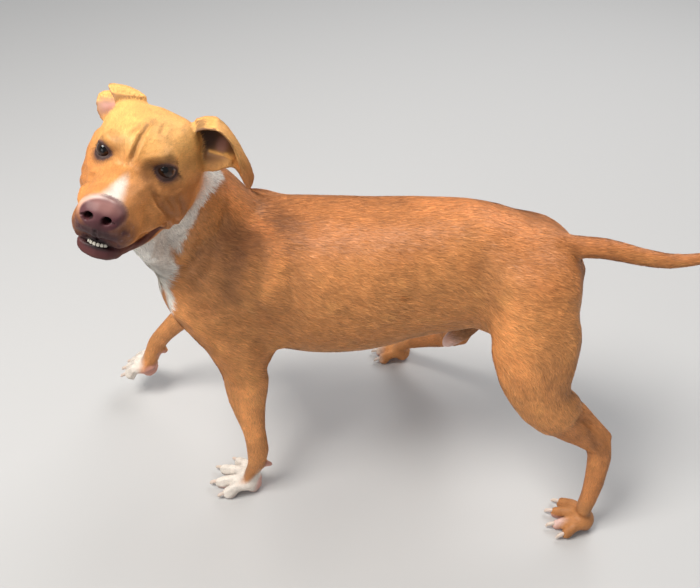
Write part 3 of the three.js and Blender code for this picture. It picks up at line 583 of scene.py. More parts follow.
def folded(rows, normals, folds):
    """Rows pressed in along each fold's line and swollen on its banks."""
    moved = np.zeros(len(rows))
    for line, depth, width, swell in folds:
        distance, along = to_line(rows, line)
        ends = smooth_step(0, 0.15, along) * smooth_step(0, 0.15, 1 - along)
        ends = np.maximum(ends, 0.15)
        moved -= depth * bell(distance, width) * ends
        moved += swell * bell(distance - 2 * width, width) * ends
    return rows + normals * moved[:, None]


NOSTRIL = (100, 9.5, -37)  # the left nostril's middle, in the head's frame


def nostril_depth(head, side):
    """How deep inside a nostril each place lies, 0 to 1, with the slit at its outer side."""
    x, y, z = (head - np.array([NOSTRIL[0], side * NOSTRIL[1] + 1.5, NOSTRIL[2]])).T
    front = x > -12
    hole = np.sqrt((y / 5.0) ** 2 + (z / 4.0) ** 2)
    slit_y = side * y - 5.5
    slit = np.sqrt((slit_y / 5.0) ** 2 + ((z + 1.5 + 0.06 * slit_y**2) / 2.2) ** 2)
    deep = np.maximum(1 - smooth_step(0.5, 1.2, hole), 0.35 * (1 - smooth_step(0.3, 1.2, slit)))
    return np.where(front, deep, 0)


def mouth_measures(head):
    """Distance from the closed mouth's line on either side, and how far along it the place lies."""
    left, along_left = to_line(head, MOUTH_LINE)
    right, along_right = to_line(head, mirrored(MOUTH_LINE))
    return np.minimum(left, right), np.where(left < right, along_left, along_right)


SHARE_ROUNDS = 6  # of blending the parts across their borders
HEAD_MIDDLE = np.array([0, 0, -20])  # in the head's frame, in mm
FACE_REACH = 150  # mm from there, as far as the face is sculpted
HEAD_REACH = 170  # mm from there, as far as bare places of the head are looked for


def sculpt(skin, sizes):
    """Coat depth, lids, nostrils, mouth and folds on the skin."""
    mesh = skin.data
    rows = places(mesh)
    links = links_of(mesh)
    shares = shares_of(nearest_part(rows), links, SHARE_ROUNDS)
    normals = normals_of(mesh)
    rows = rows - normals * (weighted(COAT_DEPTH, shares) * MM)[:, None]
    head = in_head(rows)
    normals_in_head = normals @ np.array(HEAD_TURN)
    near = np.linalg.norm(head - HEAD_MIDDLE, axis=1) < FACE_REACH
    face = head[near]
    facing = normals_in_head[near]
    face = folded(face, facing, FACE_FOLDS)
    distance, along = mouth_measures(face)
    depth = MOUTH_DEPTH * bell(distance, MOUTH_WIDTH) * smooth_step(0, 0.08, 1.02 - along)
    face -= facing * depth[:, None]
    for side in (1, -1):
        deep = nostril_depth(face, side)
        face -= np.array([7.0, 0, -1.5]) * deep[:, None]
        face = set_lids(face, sizes.eye_radius / MM, side)
    head[near] = face
    rows = np.where(near[:, None], from_head(head), rows)
    body = in_body(rows)
    body = folded(body, normals, BODY_FOLDS)
    rows = body * MM + np.array(BODY_AT)
    put(mesh, rows)
    return shares


def noise(rows, size, seed):
    """Smooth noise between -1 and 1 with a grain of this size, the same for the same place."""
    spots = rows / size + seed * 17.3
    cell = np.floor(spots).astype(np.int64)
    part = spots - cell
    part = part * part * (3 - 2 * part)
    total = np.zeros(len(rows))
    for corner in np.ndindex(2, 2, 2):
        at = cell + np.array(corner)
        key = (at[:, 0] * 73856093) ^ (at[:, 1] * 19349663) ^ (at[:, 2] * 83492791) ^ (seed * 2654435)
        key = (key ^ (key >> 13)) * 1274126177 & 0x7FFFFFFF
        key = (key ^ (key >> 16)) & 0xFFFFF
        weight = np.prod(np.where(np.array(corner) == 1, part, 1 - part), axis=1)
        total += weight * (key / 0xFFFFF)
    return total * 2 - 1


def ragged(rows, amount, size, seed):
    """Noise in two sizes, to break up the edge of a marking."""
    return amount * (0.65 * noise(rows, size, seed) + 0.35 * noise(rows, size * 0.4, seed + 5))


def paint(base, tint, mask):
    """Base colours turned to the tint by the mask, which is held between 0 and 1."""
    mask = mask.clip(0, 1)[:, None]
    return base * (1 - mask) + np.array(tint) * mask


def patch(rows, centre, reach, soft=0.35):
    """1 inside an ellipsoid and 0 outside, with a soft edge."""
    far = np.linalg.norm((rows - np.array(centre, float)) / np.array(reach, float), axis=1)
    return 1 - smooth_step(1 - soft, 1 + soft, far)


def line_mask(rows, line, width, soft=0.5):
    """1 along a line and 0 away from it, with a soft edge."""
    distance, _ = to_line(rows, line)
    return 1 - smooth_step(width * (1 - soft), width * (1 + soft), distance)


# The middle lines of the white marks, those of the body in its frame and the blaze in the head's, in mm.
WHITE_COLLAR = [
    (54, 44, 572), (60, 66, 576), (63, 90, 575), (68, 110, 566), (76, 118, 553), (90, 115, 535),
    (106, 104, 510), (124, 84, 478), (138, 66, 446), (150, 50, 412), (156, 52, 380), (150, 66, 352),
]
WHITE_JOWL = [
    (62, 110, 580), (64, 137, 582), (68, 160, 578), (80, 168, 566), (104, 150, 536), (116, 128, 512),
]
WHITE_BREAST = [
    (118, 172, 535), (134, 160, 515), (146, 122, 482), (158, 78, 440), (168, 48, 404), (182, 14, 370),
    (184, 4, 330),
]
TOE_STRIP = [(30, 124, 100), (34, 127, 78), (40, 128, 56), (50, 130, 44)]  # brown, down the forepaw
BLAZE = [(20, 2, -5), (36, 2, -10), (56, 4, -15), (76, 5, -18), (90, 4, -20)]
NOSE_MIDDLE = (3.0, -34.0)  # of the leather, across and up, in the head's frame
NOSE_REACH = (22.5, 15.2)
NOSE_BACK = 76
UNDER_NOSE = (92, 4, -58)


def nose_mask(head):
    """1 on the leather of the nose."""
    across = (head[:, 1] - NOSE_MIDDLE[0]) / NOSE_REACH[0]
    up = (head[:, 2] - NOSE_MIDDLE[1]) / NOSE_REACH[1]
    far = np.sqrt(across**2 + up**2) + np.where(head[:, 0] > NOSE_BACK, 0, 9)
    groove = (np.abs(head[:, 1] - 2) < 4.5) & (head[:, 0] > NOSE_BACK)
    groove &= (head[:, 2] < -40) & (head[:, 2] > -62)
    return np.maximum(1 - smooth_step(0.93, 1.07, far), 0.8 * groove)


def lip_mask(head):
    """1 on the bare lips: the band from the mouth's line to the lower lip's edge."""
    shut, along = mouth_measures(head)
    left, _ = to_line(head, LIP_EDGE)
    right, _ = to_line(head, mirrored(LIP_EDGE))
    edge = np.minimum(left, right)
    slack = 7 * smooth_step(50, 66, head[:, 0])
    band = 1 - smooth_step(14, 18, shut + edge - slack)
    front = smooth_step(58, 68, head[:, 0]) * (1 - smooth_step(-80, -77, head[:, 2]))
    band = np.maximum(band, front * smooth_step(-104, -99, head[:, 2]))
    line = 1 - smooth_step(2.2, 4.2, shut)
    return np.maximum(band, line) * smooth_step(-0.02, 0.06, 1.02 - along)


# Bare places of the paws and the belly, in the body's frame: each one's middle and reach, in mm.
PADS = [
    ((62, 116, 4), (40, 26, 7)), ((6, 114, 60), (12, 12, 14)), ((20, 116, 14), (16, 18, 16)),
    ((276, -62, 62), (20, 22, 16)), ((250, -68, 96), (12, 16, 14)),
    ((-470, 100, 4), (40, 26, 7)), ((-142, -246, 4), (42, 28, 7)),
]
SHEATH, SHEATH_REACH = (-262, 5, 268), (26, 24, 24)
# The groin, which takes painted shade where it lies between the thighs: its middle and reach, in mm.
GROIN, GROIN_REACH = (-300, 6, 312), (60, 60, 32)

EAR_FOLD = np.array([-78, 62, 44])  # where the left ear turns over, in the head's frame


def ear_inner(head, normals, side):
    """1 on the hollow side of an ear."""
    facing = np.array([0.92, -0.10, -0.38]) if side > 0 else np.array([0.80, 0.10, -0.58])
    toward = normals @ np.array(HEAD_TURN) @ facing
    hanging = smooth_step(34, 52, np.linalg.norm(head - EAR_FOLD, axis=1)) * (side > 0)
    return smooth_step(0.12, 0.42, toward) * (1 - hanging)


class Spots:
    """Places on the dog as its markings see them: in both frames, with their parts and some noise."""

    def __init__(self, rows, normals, shares):
        """Takes places, normals and shares in the parts of the flesh."""
        self.body, self.head, self.normals = in_body(rows), in_head(rows), normals
        self.part = {name: shares[:, number] for number, name in enumerate(FLESH)}
        self.is_head = sum(self.part[name] for name in HEAD_PARTS)
        self.grain = ragged(self.body, 1.0, 45, 3)
        self.fine = ragged(self.body, 1.0, 14, 4)


def mark_body(hue, at, colours):
    """Tan all over: redder above, paler below, uneven, with painted shade along the folds and painted
    highlights over bone and muscle.
    """
    top = smooth_step(-0.1, 0.95, at.normals[:, 2] + 0.25 * at.grain)
    high = smooth_step(360, 480, at.body[:, 2])
    hue = paint(hue, colours.red, 0.6 * top * high)
    hue = paint(hue, colours.red, 0.12 * at.part["neck"] + 0.4 * at.part["tail"])
    hue = paint(hue, colours.red, 0.35 * smooth_step(0.0, 1.0, at.grain + 0.3 * at.fine))
    under = smooth_step(0.25, 0.95, -at.normals[:, 2] + 0.15 * at.grain)
    hue = paint(hue, colours.pale, 0.45 * under * at.part["trunk"])
    hue = paint(hue, colours.gold, 0.22 * smooth_step(0.1, 0.9, at.fine) * (1 - top))
    for name in ("hock_left", "hock_right"):
        hue = paint(hue, colours.red, 0.45 * at.part[name])
    # Painted shade in the creases and grooves of the body.
    for line, width, amount in SHADES_OF_FORM:
        hue = paint(hue, colours.dark, amount * line_mask(at.body, line, width, 0.8) * (1 - at.is_head))
    # Painted highlights, lightening the hair where light catches bone and muscle.
    for line, width, amount in LIGHTS_OF_FORM:
        painted_highlight = line_mask(at.body, line, width, 0.9) * (1 - at.is_head)
        hue = (hue * (1 + amount * painted_highlight[:, None])).clip(0, 0.95)
    return hue


def mark_head(hue, at, colours):
    """Gold above, orange tan on the cheeks, dark round the eyes, and painted shade in the creases of the face
    and at the lids.
    """
    head = at.head
    above = smooth_step(-22, 30, head[:, 2] + 10 * at.grain + 6 * at.fine)
    face = paint(np.tile(np.array(colours.cheek), (len(head), 1)), colours.gold, above)
    for side, amount in ((1, 0.5), (-1, 0.4)):
        face = paint(face, colours.red, amount * patch(head, (-28, 52 * side, -46), (30, 26, 34), 0.6))
    hue = hue * (1 - at.is_head[:, None]) + face * at.is_head[:, None]
    # Painted shade in the creases of the face, and dark hair by the eyes.
    for line, width, amount in FACE_SHADES:
        hue = paint(hue, colours.dark, amount * line_mask(head, line, width, 0.9) * at.is_head)
    for side in (1, -1):
        far, _ = almond(head, side)
        hue = paint(hue, colours.dark, 0.75 * (1 - smooth_step(1.15, 1.9, far)) * at.is_head)
        hue = paint(hue, colours.rim, 0.9 * (1 - smooth_step(1.08, 1.3, far)) * at.is_head)
        # Painted shade in the gap between the lid and the eyeball.
        hue = paint(hue, colours.hollow, 0.7 * (1 - smooth_step(0.98, 1.08, far)) * at.is_head)
    return hue


def mark_ears(hue, at, colours):
    """Redder at the hanging end; within, pink skin, and brown that is partly hair and partly painted shade of
    the hollow.
    """
    head, left, right = at.head, at.part["ear_left"], at.part["ear_right"]
    hanging_end = smooth_step(30, 72, np.linalg.norm(head - EAR_FOLD, axis=1)) * left
    hue = paint(hue, colours.red, 0.75 * hanging_end)
    inside = ear_inner(head, at.normals, 1) * left
    # Brown within, partly hair and partly painted shade; near black painted shade at the hollow's deepest
    # part.
    hue = paint(hue, colours.brown, 0.9 * inside)
    hue = paint(hue, colours.hollow, 0.85 * inside * patch(head, (-81, 55, 34), (24, 22, 22), 0.6))
    hue = paint(hue, colours.pink, 0.6 * inside * patch(head, (-80, 80, 30), (9, 7, 9), 0.6))
    inside = ear_inner(head, at.normals, -1) * right
    # The right ear likewise: brown partly hair and partly painted shade, pink skin, and a spot of painted
    # shade.
    hue = paint(hue, colours.brown, 0.8 * inside)
    hue = paint(hue, colours.pink, 0.85 * inside * patch(head, (-76, -62, 36), (15, 11, 15), 0.6))
    return paint(hue, colours.dark, 0.7 * inside * patch(head, (-80, -68, 37), (6, 9, 7), 0.5))


def mark_muzzle(hue, at, colours):
    """The white blaze, pink skin round the nose, the leather and the lips, with painted shade under the nose,
    in the nostrils and in the mouth.
    """
    head, is_head = at.head, at.is_head
    distance, along = to_line(head, BLAZE)
    wide = 2.5 + 9.5 * along
    blaze = (1 - smooth_step(0.2, 1.7, distance / wide + 0.2 * at.fine)) * smooth_step(0, 0.5, along + 0.04)
    hue = paint(hue, colours.white, 0.9 * blaze * is_head)
    hue = paint(hue, colours.blush, 0.75 * patch(head, (92, 4, -28), (15, 27, 17), 0.45) * is_head)
    mottle = patch(head, (90, 2, -62), (36, 44, 28), 0.45) * is_head
    hue = paint(hue, colours.nose, mottle * (0.6 + 0.4 * smooth_step(-0.3, 0.4, ragged(head, 1.0, 7, 21))))
    hue = paint(hue, colours.blush, 0.4 * mottle * smooth_step(0.25, 0.6, ragged(head, 1.0, 4, 22)))
    # Dark bare skin under the nose, laid as dark as the shade there: partly the skin's colour and partly
    # painted shade.
    hue = paint(hue, colours.lip, 0.9 * (patch(head, (94, 2, -62), (30, 30, 24), 0.5) * is_head))
    leather = nose_mask(head) * is_head
    hue = paint(hue, colours.nose, leather)
    hue = paint(hue, colours.lip, 0.7 * leather * (1 - smooth_step(-48, -28, head[:, 2])))
    # Painted shade in the hollow under the nose.
    hue = paint(hue, colours.hollow, 0.6 * patch(head, (96, 2, -58), (24, 17, 14), 0.8) * is_head)
    hue = paint(hue, colours.pink, 0.35 * leather * patch(head, (92, 6, -24), (14, 18, 7), 0.7))
    hue = paint(hue, colours.lip, 0.95 * lip_mask(head) * is_head)
    # Painted shade inside the nostrils.
    for side in (1, -1):
        hue = paint(hue, colours.hollow, 0.97 * smooth_step(0.15, 0.6, nostril_depth(head, side)))
    # Painted shade in the mouth's opening, behind the lips.
    return paint(hue, colours.hollow, 0.9 * patch(head, (80, 0, -76), (16, 19, 6), 0.4) * is_head)


def mark_white(hue, at, colours):
    """The white collar, throat and chest."""
    fringe = ragged(at.body, 4.5, 14, 9)
    jowl, _ = to_line(at.body, WHITE_JOWL)
    distance, along = to_line(at.body, WHITE_COLLAR)
    wide = 10.5 - 2 * smooth_step(0.45, 0.75, along)
    collar = 1 - smooth_step(wide, wide + 7, distance + fringe)
    breast, _ = to_line(at.body, WHITE_BREAST)
    chest = 1 - smooth_step(27, 33, breast + fringe)
    throat = 1 - smooth_step(27, 33, jowl + fringe)
    spread = np.maximum.reduce([collar, chest, throat])
    return paint(hue, colours.white, spread * (1 - at.part["head"]) * (1 - at.part["lower_jaw"]))


def mark_feet(hue, at, colours):
    """White toes, a brown strip down the front ones, bare pads and belly, and painted shade in the groin."""
    body, part, fine = at.body, at.part, at.fine
    strip = line_mask(body, TOE_STRIP, 13, 0.35)
    low = 1 - smooth_step(52, 66, body[:, 2] + 6 * fine)
    white_paw = np.maximum(part["forepaw_left"], low * part["foreleg_left"]) * (1 - strip)
    hue = paint(hue, colours.white, 0.92 * white_paw)
    hue = paint(hue, colours.brown, 0.45 * strip * part["forepaw_left"])
    front = smooth_step(284, 300, body[:, 0] + 5 * fine)
    hue = paint(hue, colours.white, 0.9 * part["forepaw_right"] * front)
    front = smooth_step(-140, -112, body[:, 0] + 6 * fine)
    hue = paint(hue, colours.white, 0.65 * part["hindpaw_right"] * front)
    white_toe = patch(body, (-446, 112, 14), (28, 9, 20), 0.4)
    hue = paint(hue, colours.blush, 0.85 * white_toe * part["hindpaw_left"])
    hue = paint(hue, colours.brown, 0.35 * part["hindpaw_left"] * (1 - white_toe))
    for pad, reach in PADS:
        hue = paint(hue, colours.pink, 0.9 * patch(body, pad, reach, 0.3))
    # Painted shade in the groin, between the thighs.
    hue = paint(hue, colours.hollow, 0.55 * patch(body, GROIN, GROIN_REACH, 0.6) * part["trunk"])
    return paint(hue, colours.blush, 0.9 * patch(body, SHEATH, SHEATH_REACH, 0.5) * part["trunk"])


MARKS = (mark_body, mark_head, mark_ears, mark_muzzle, mark_white, mark_feet)


def markings(rows, normals, shares, colours):
    """The colour of skin and coat at each place, from the markings of the breed, with painted shade and
    painted highlights.
    """
    at = Spots(rows, normals, shares)
    hue = np.tile(np.array(colours.tan), (len(rows), 1))
    for mark in MARKS:
        hue = mark(hue, at, colours)
    return hue


def new_material(name):
    """A material with a Principled shader, and that shader."""
    material = bpy.data.materials.new(name)
    material.use_nodes = True
    return material, material.node_tree.nodes["Principled BSDF"]


def plain_material(name, tint, roughness):
    """A material of one colour, and its shader."""
    material, shader = new_material(name)
    shader.inputs["Base Color"].default_value = (*tint, 1)
    shader.inputs["Roughness"].default_value = roughness
    return material, shader


def linked(material, start, end):
    """Joins two sockets of the material."""
    material.node_tree.links.new(start, end)


def grain_group():
    """Fine grain: a height for bump and a small change of tone, on object coordinates."""
    name = "Fine grain"
    if name in bpy.data.node_groups:
        return bpy.data.node_groups[name]
    group = bpy.data.node_groups.new(name, "ShaderNodeTree")
    group.interface.new_socket("Scale", in_out="INPUT", socket_type="NodeSocketFloat")
    group.interface.new_socket("Height", in_out="OUTPUT", socket_type="NodeSocketFloat")
    group.interface.new_socket("Tone", in_out="OUTPUT", socket_type="NodeSocketFloat")
    nodes = group.nodes
    taken = nodes.new("NodeGroupInput")
    given = nodes.new("NodeGroupOutput")
    place = nodes.new("ShaderNodeTexCoord")
    fine = nodes.new("ShaderNodeTexNoise")
    fine.inputs["Detail"].default_value = 4
    wide = nodes.new("ShaderNodeTexNoise")
    wide.inputs["Scale"].default_value = 60
    spread = nodes.new("ShaderNodeMapRange")
    for socket, value in (("From Min", 0.25), ("From Max", 0.75), ("To Min", 0.86), ("To Max", 1.12)):
        spread.inputs[socket].default_value = value
    links = group.links
    links.new(place.outputs["Object"], fine.inputs["Vector"])
    links.new(taken.outputs["Scale"], fine.inputs["Scale"])
    links.new(place.outputs["Object"], wide.inputs["Vector"])
    links.new(wide.outputs["Fac"], spread.inputs["Value"])
    links.new(fine.outputs["Fac"], given.inputs["Height"])
    links.new(spread.outputs["Result"], given.inputs["Tone"])
    return group


GRAIN_SCALE = 900  # of the fine grain
GRAIN_HEIGHT = 0.5 * MM


def hide_material(name, roughness, bump):
    """Skin or hair coloured by the markings, with fine grain."""
    material, shader = new_material(name)
    nodes = material.node_tree.nodes
    hue = nodes.new("ShaderNodeAttribute")
    hue.attribute_name = TINT
    grain = nodes.new("ShaderNodeGroup")
    grain.node_tree = grain_group()
    grain.inputs["Scale"].default_value = GRAIN_SCALE
    mix = nodes.new("ShaderNodeMix")
    mix.data_type = "RGBA"
    mix.blend_type = "MULTIPLY"
    mix.inputs["Factor"].default_value = 1
    linked(material, hue.outputs["Color"], mix.inputs["A"])
    linked(material, grain.outputs["Tone"], mix.inputs["B"])
    linked(material, mix.outputs["Result"], shader.inputs["Base Color"])
    raised = nodes.new("ShaderNodeBump")
    raised.inputs["Strength"].default_value = bump
    raised.inputs["Distance"].default_value = GRAIN_HEIGHT
    linked(material, grain.outputs["Height"], raised.inputs["Height"])
    linked(material, raised.outputs["Normal"], shader.inputs["Normal"])
    shader.inputs["Roughness"].default_value = roughness
    shader.inputs["Specular IOR Level"].default_value = 0.4
    return material


def smooth_faces(mesh):
    """Every face shaded smooth."""
    mesh.polygons.foreach_set("use_smooth", [True] * len(mesh.polygons))


class DOG_OT_skin(Operator):
    """One skin over all the flesh, with lids, nostrils, lips and folds"""

    bl_idname = "dog.skin"
    bl_label = "Skin"

    def execute(self, context):
        sizes, colours = context.scene.dog_sizes, context.scene.dog_colours
        skin = build_base(sizes)
        mesh = thinned(skin, sizes.kept_faces)
        refined(mesh)
        shares = sculpt(skin, sizes)
        tint_vertices(mesh, markings(places(mesh), normals_of(mesh), shares, colours))
        smooth_faces(mesh)
        mesh.materials.clear()
        mesh.materials.append(hide_material("hide", 0.55, 0.25))
        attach(skin, "root")
        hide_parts(*FLESH)
        return {"FINISHED"}


HEAD_LIE = (-1.0, 0.3, 0.3)  # back along the head, outwards and up or down
LIE_REACH = 15  # mm, how near a piece of a lie line must be to rule alone
LIE_ROUNDS = 5  # of evening the lie, each of the two times that it is laid along the skin
TRUNK_SAG = 0.35  # how much the trunk's hair turns down where its sides are steep


def along_lines(rows, line):
    """The direction of a line of hair at each row, blended over its pieces by their nearness."""
    points = np.array(line, float)
    way = np.zeros_like(rows)
    for start, end in zip(points[:-1], points[1:]):
        distance, _ = to_line(rows, [start, end])
        way += unit((end - start)[None, :]) / (distance**2 + LIE_REACH**2)[:, None] ** 2
    return unit(way)


def lie_of(rows, normals, shares, links):
    """The way the hair lies at each vertex of the skin, along its surface."""
    body, head = in_body(rows), in_head(rows)
    to_model = np.array(HEAD_TURN).T
    lie = np.zeros_like(rows)
    for number, name in enumerate(FLESH):
        near = shares[:, number] > 0.001
        if name in LIE_LINES:
            is_ear = name.startswith("ear")
            way = along_lines((head if is_ear else body)[near], LIE_LINES[name])
            way = way @ to_model if is_ear else way
        else:
            spots = head[near]
            outwards = HEAD_LIE[1] * (spots[:, 1] / 30).clip(-1, 1)
            upwards = HEAD_LIE[2] * ((spots[:, 2] + 35) / 40).clip(-1, 1)
            way = unit(np.c_[np.full(len(spots), HEAD_LIE[0]), outwards, upwards]) @ to_model
        if name == "trunk":
            way[:, 2] -= TRUNK_SAG * np.abs(normals[near, 1])
        lie[near] += shares[near, number][:, None] * way
    half = np.full(len(rows), HALF)
    for _ in range(2):
        lie = unit(lie - normals * (lie * normals).sum(1)[:, None])
        lie = evened(lie, links, LIE_ROUNDS, half)
    return unit(lie - normals * (lie * normals).sum(1)[:, None])


def bare(rows, normals, shares):
    """1 where no hair grows: the leather, the lips, the eyes, the pads and the hollows of the ears."""
    head, body = in_head(rows), in_body(rows)
    near = np.linalg.norm(head - HEAD_MIDDLE, axis=1) < HEAD_REACH
    spots, skin_normals, own = head[near], normals[near], shares[near]
    none = np.zeros(len(rows))
    part = {name: own[:, number] for number, name in enumerate(FLESH)}
    on_face = np.maximum(nose_mask(spots), 0.97 * lip_mask(spots))
    for side in (1, -1):
        on_face = np.maximum(on_face, almond(spots, side)[0] < LID_BARE)
    for side, name in ((1, "ear_left"), (-1, "ear_right")):
        on_face = np.maximum(on_face, 1.3 * ear_inner(spots, skin_normals, side) * part[name])
    none[near] = np.maximum(on_face, 0.6 * patch(spots, UNDER_NOSE, (24, 24, 16), 0.3))
    for place, reach in PADS:
        none = np.maximum(none, patch(body, place, reach, 0.2))
    return np.maximum(none, patch(body, SHEATH, SHEATH_REACH, 0.3)).clip(0, 1)


class Hide:
    """The skin's surface as arrays, from which the coat's tufts grow."""

    def __init__(self, skin, shares, colours):
        """Reads the skin, and works out the lie of the hair on it and where none grows."""
        mesh = skin.data
        mesh.calc_loop_triangles()
        count = len(mesh.loop_triangles)
        corners, loops = np.zeros(count * 3, np.int32), np.zeros(count * 3, np.int32)
        mesh.loop_triangles.foreach_get("vertices", corners)
        mesh.loop_triangles.foreach_get("loops", loops)
        self.corners, self.loops = corners.reshape(-1, 3), loops.reshape(-1, 3)
        self.rows, self.normals, self.shares = places(mesh), normals_of(mesh), shares
        self.lie = lie_of(self.rows, self.normals, shares, links_of(mesh))
        self.bare = bare(self.rows, self.normals, shares)
        self.part = np.argmax(shares, axis=1)
        self.unwrap = unwrapped(skin)
        self.colours = colours
        faces = self.rows[self.corners]
        edges = faces[:, 1] - faces[:, 0], faces[:, 2] - faces[:, 0]
        self.areas = np.linalg.norm(np.cross(*edges), axis=1) / 2
        self.tree = bvhtree.BVHTree.FromPolygons(self.rows.tolist(), self.corners.tolist())

    def snapped(self, spots):
        """The nearest places on the skin, and the skin's normals there."""
        found = [self.tree.find_nearest(spot)[:2] for spot in spots.tolist()]
        return (np.array([place for place, _ in found]), np.array([normal for _, normal in found]))


def unwrapped(skin):
    """The place of each face corner on an unwrap of the skin's own shape, from a copy of it."""
    mesh = skin.data.copy()
    piece = show(mesh, "unwrap")
    mesh.uv_layers.new(name="unwrap")
    bpy.context.view_layer.objects.active = piece
    bpy.ops.object.select_all(action="DESELECT")
    piece.select_set(True)
    bpy.ops.object.mode_set(mode="EDIT")
    bpy.ops.mesh.select_all(action="SELECT")
    bpy.ops.uv.smart_project(angle_limit=math.radians(66), island_margin=0.002)
    bpy.ops.object.mode_set(mode="OBJECT")
    spots = np.zeros(len(mesh.loops) * 2, np.float32)
    mesh.uv_layers.active.data.foreach_get("uv", spots)
    bpy.data.objects.remove(piece)
    bpy.data.meshes.remove(mesh)
    return spots.reshape(-1, 2)


PATCH_ACROSS = 0.003  # of a tuft on the unwrap
TUFT_TONE = (0.72, 1.0, 1.12)  # at a tuft's root, middle and tip
TUFT_SPREAD = 0.14  # how much the tone differs from tuft to tuft
ROOT_DEPTH = 0.35  # mm, how deep a tuft's root lies under the skin
SWIRL = (0.16, 0.14)  # radians off the lie, each tuft on its own and together with its neighbours
LEAN = 0.22  # how much a tuft's normals differ from the skin's
FULL_LIFT = 15  # mm, the length of a tuft that stands off by the full lift
CALM, CALM_LENGTH = 0.45, 12  # least share of the changes of tone, and the length in mm that has them all
MUZZLE_CLOSER, MUZZLE_SHORTER = 0.25, 0.55  # how much closer and shorter tufts stand on the muzzle


def seeded(hide, names, side, random):
    """The tufts to grow: each one's face, mix of its corners, shares in the parts, and shortening."""
    chosen = np.isin(hide.part, [FLESH.index(name) for name in names])[hide.corners[:, 0]]
    if side:
        middles = hide.rows[hide.corners].mean(1)
        chosen &= side * in_body(middles)[:, 1] > 0
    faces = np.flatnonzero(chosen)
    shares = hide.shares[hide.corners[faces]].mean(1)
    spacing = weighted(TUFTS, shares, 2).clip(0.9) * MM
    head = in_head(hide.rows[hide.corners[faces, 0]])
    muzzle = smooth_step(35, 75, head[:, 0]) * (np.abs(head[:, 1]) < 60) * (head[:, 2] > -130)
    haired = 1 - hide.bare[hide.corners[faces]].mean(1)
    wanted = hide.areas[faces] * haired / (spacing * (1 - MUZZLE_CLOSER * muzzle)) ** 2
    number = np.floor(wanted + random.random(len(faces))).astype(int)
    chosen = np.repeat(np.arange(len(faces)), number)
    first, second = random.random(len(chosen)), random.random(len(chosen))
    flip = first + second > 1
    first, second = np.where(flip, 1 - first, first), np.where(flip, 1 - second, second)
    mix = np.c_[1 - first - second, first, second][:, :, None]
    return faces[chosen], mix, shares[chosen], 1 - MUZZLE_SHORTER * muzzle[chosen]


def grow(hide, names, side, sizes, seed):
    """The tufts of some parts, on one side of the dog or both: corners, colours, normals and unwrap."""
    random = np.random.default_rng(seed)
    face, mix, share, short = seeded(hide, names, side, random)
    count = len(face)
    corners = hide.corners[face]
    root = (hide.rows[corners] * mix).sum(1)
    normal = unit((hide.normals[corners] * mix).sum(1))
    way = unit((hide.lie[corners] * mix).sum(1))
    aside = np.cross(normal, way)
    swirl = SWIRL[0] * random.standard_normal(count) + SWIRL[1] * noise(in_body(root), 24, 31)
    way = way * np.cos(swirl)[:, None] + aside * np.sin(swirl)[:, None]
    aside = unit(np.cross(normal, way))
    long = weighted(TUFTS, share, 0) * MM * short * random.uniform(0.75, 1.2, count)
    wide = weighted(TUFTS, share, 1) * MM * (0.4 + 0.6 * short) * random.uniform(0.7, 1.2, count)
    lift = sizes.hair_lift * (long / (FULL_LIFT * MM)) ** 0.5 * random.uniform(0.25, 1.0, count)
    half_way, half_normal = hide.snapped(root + way * (0.5 * long)[:, None])
    end, end_normal = hide.snapped(root + way * long[:, None])
    half_way += half_normal * (0.45 * lift + 0.15 * MM)[:, None]
    end += end_normal * lift[:, None]
    root = root - normal * ROOT_DEPTH * MM
    across = aside * (wide / 2)[:, None]
    spots = (root - across, root + across, half_way - 0.8 * across, half_way + 0.8 * across, end)
    calm = CALM + (1 - CALM) * (long / (CALM_LENGTH * MM)).clip(0, 1)
    tone = 1 + calm * (TUFT_SPREAD * random.standard_normal(count) + 0.10 * noise(in_body(root), 9, 41))
    hue = markings(root, normal, share, hide.colours) * tone.clip(0.55, 1.45)[:, None]
    tones = 1 + calm[:, None] * (np.array([TUFT_TONE[row] for row in (0, 0, 1, 1, 2)]) - 1)
    tints = (hue[:, None, :] * tones[:, :, None]).clip(0, 1)
    lean = normal + LEAN * way * random.standard_normal(count)[:, None]
    lean = unit(lean + LEAN * aside * random.standard_normal(count)[:, None])
    half_lean = unit(lean + half_normal)
    leans = (lean, lean, half_lean, half_lean, unit(lean + end_normal))
    unwrap = (hide.unwrap[hide.loops[face]] * mix).sum(1)
    return np.stack(spots, axis=1), tints, np.stack(leans, axis=1), unwrap


TUFT_FACES = np.array([(0, 3, 1), (0, 2, 3), (2, 4, 3)])
TUFT_PATCH = np.array([(-0.5, -0.5), (0.5, -0.5), (-0.4, 0.1), (0.4, 0.1), (0.0, 0.5)])


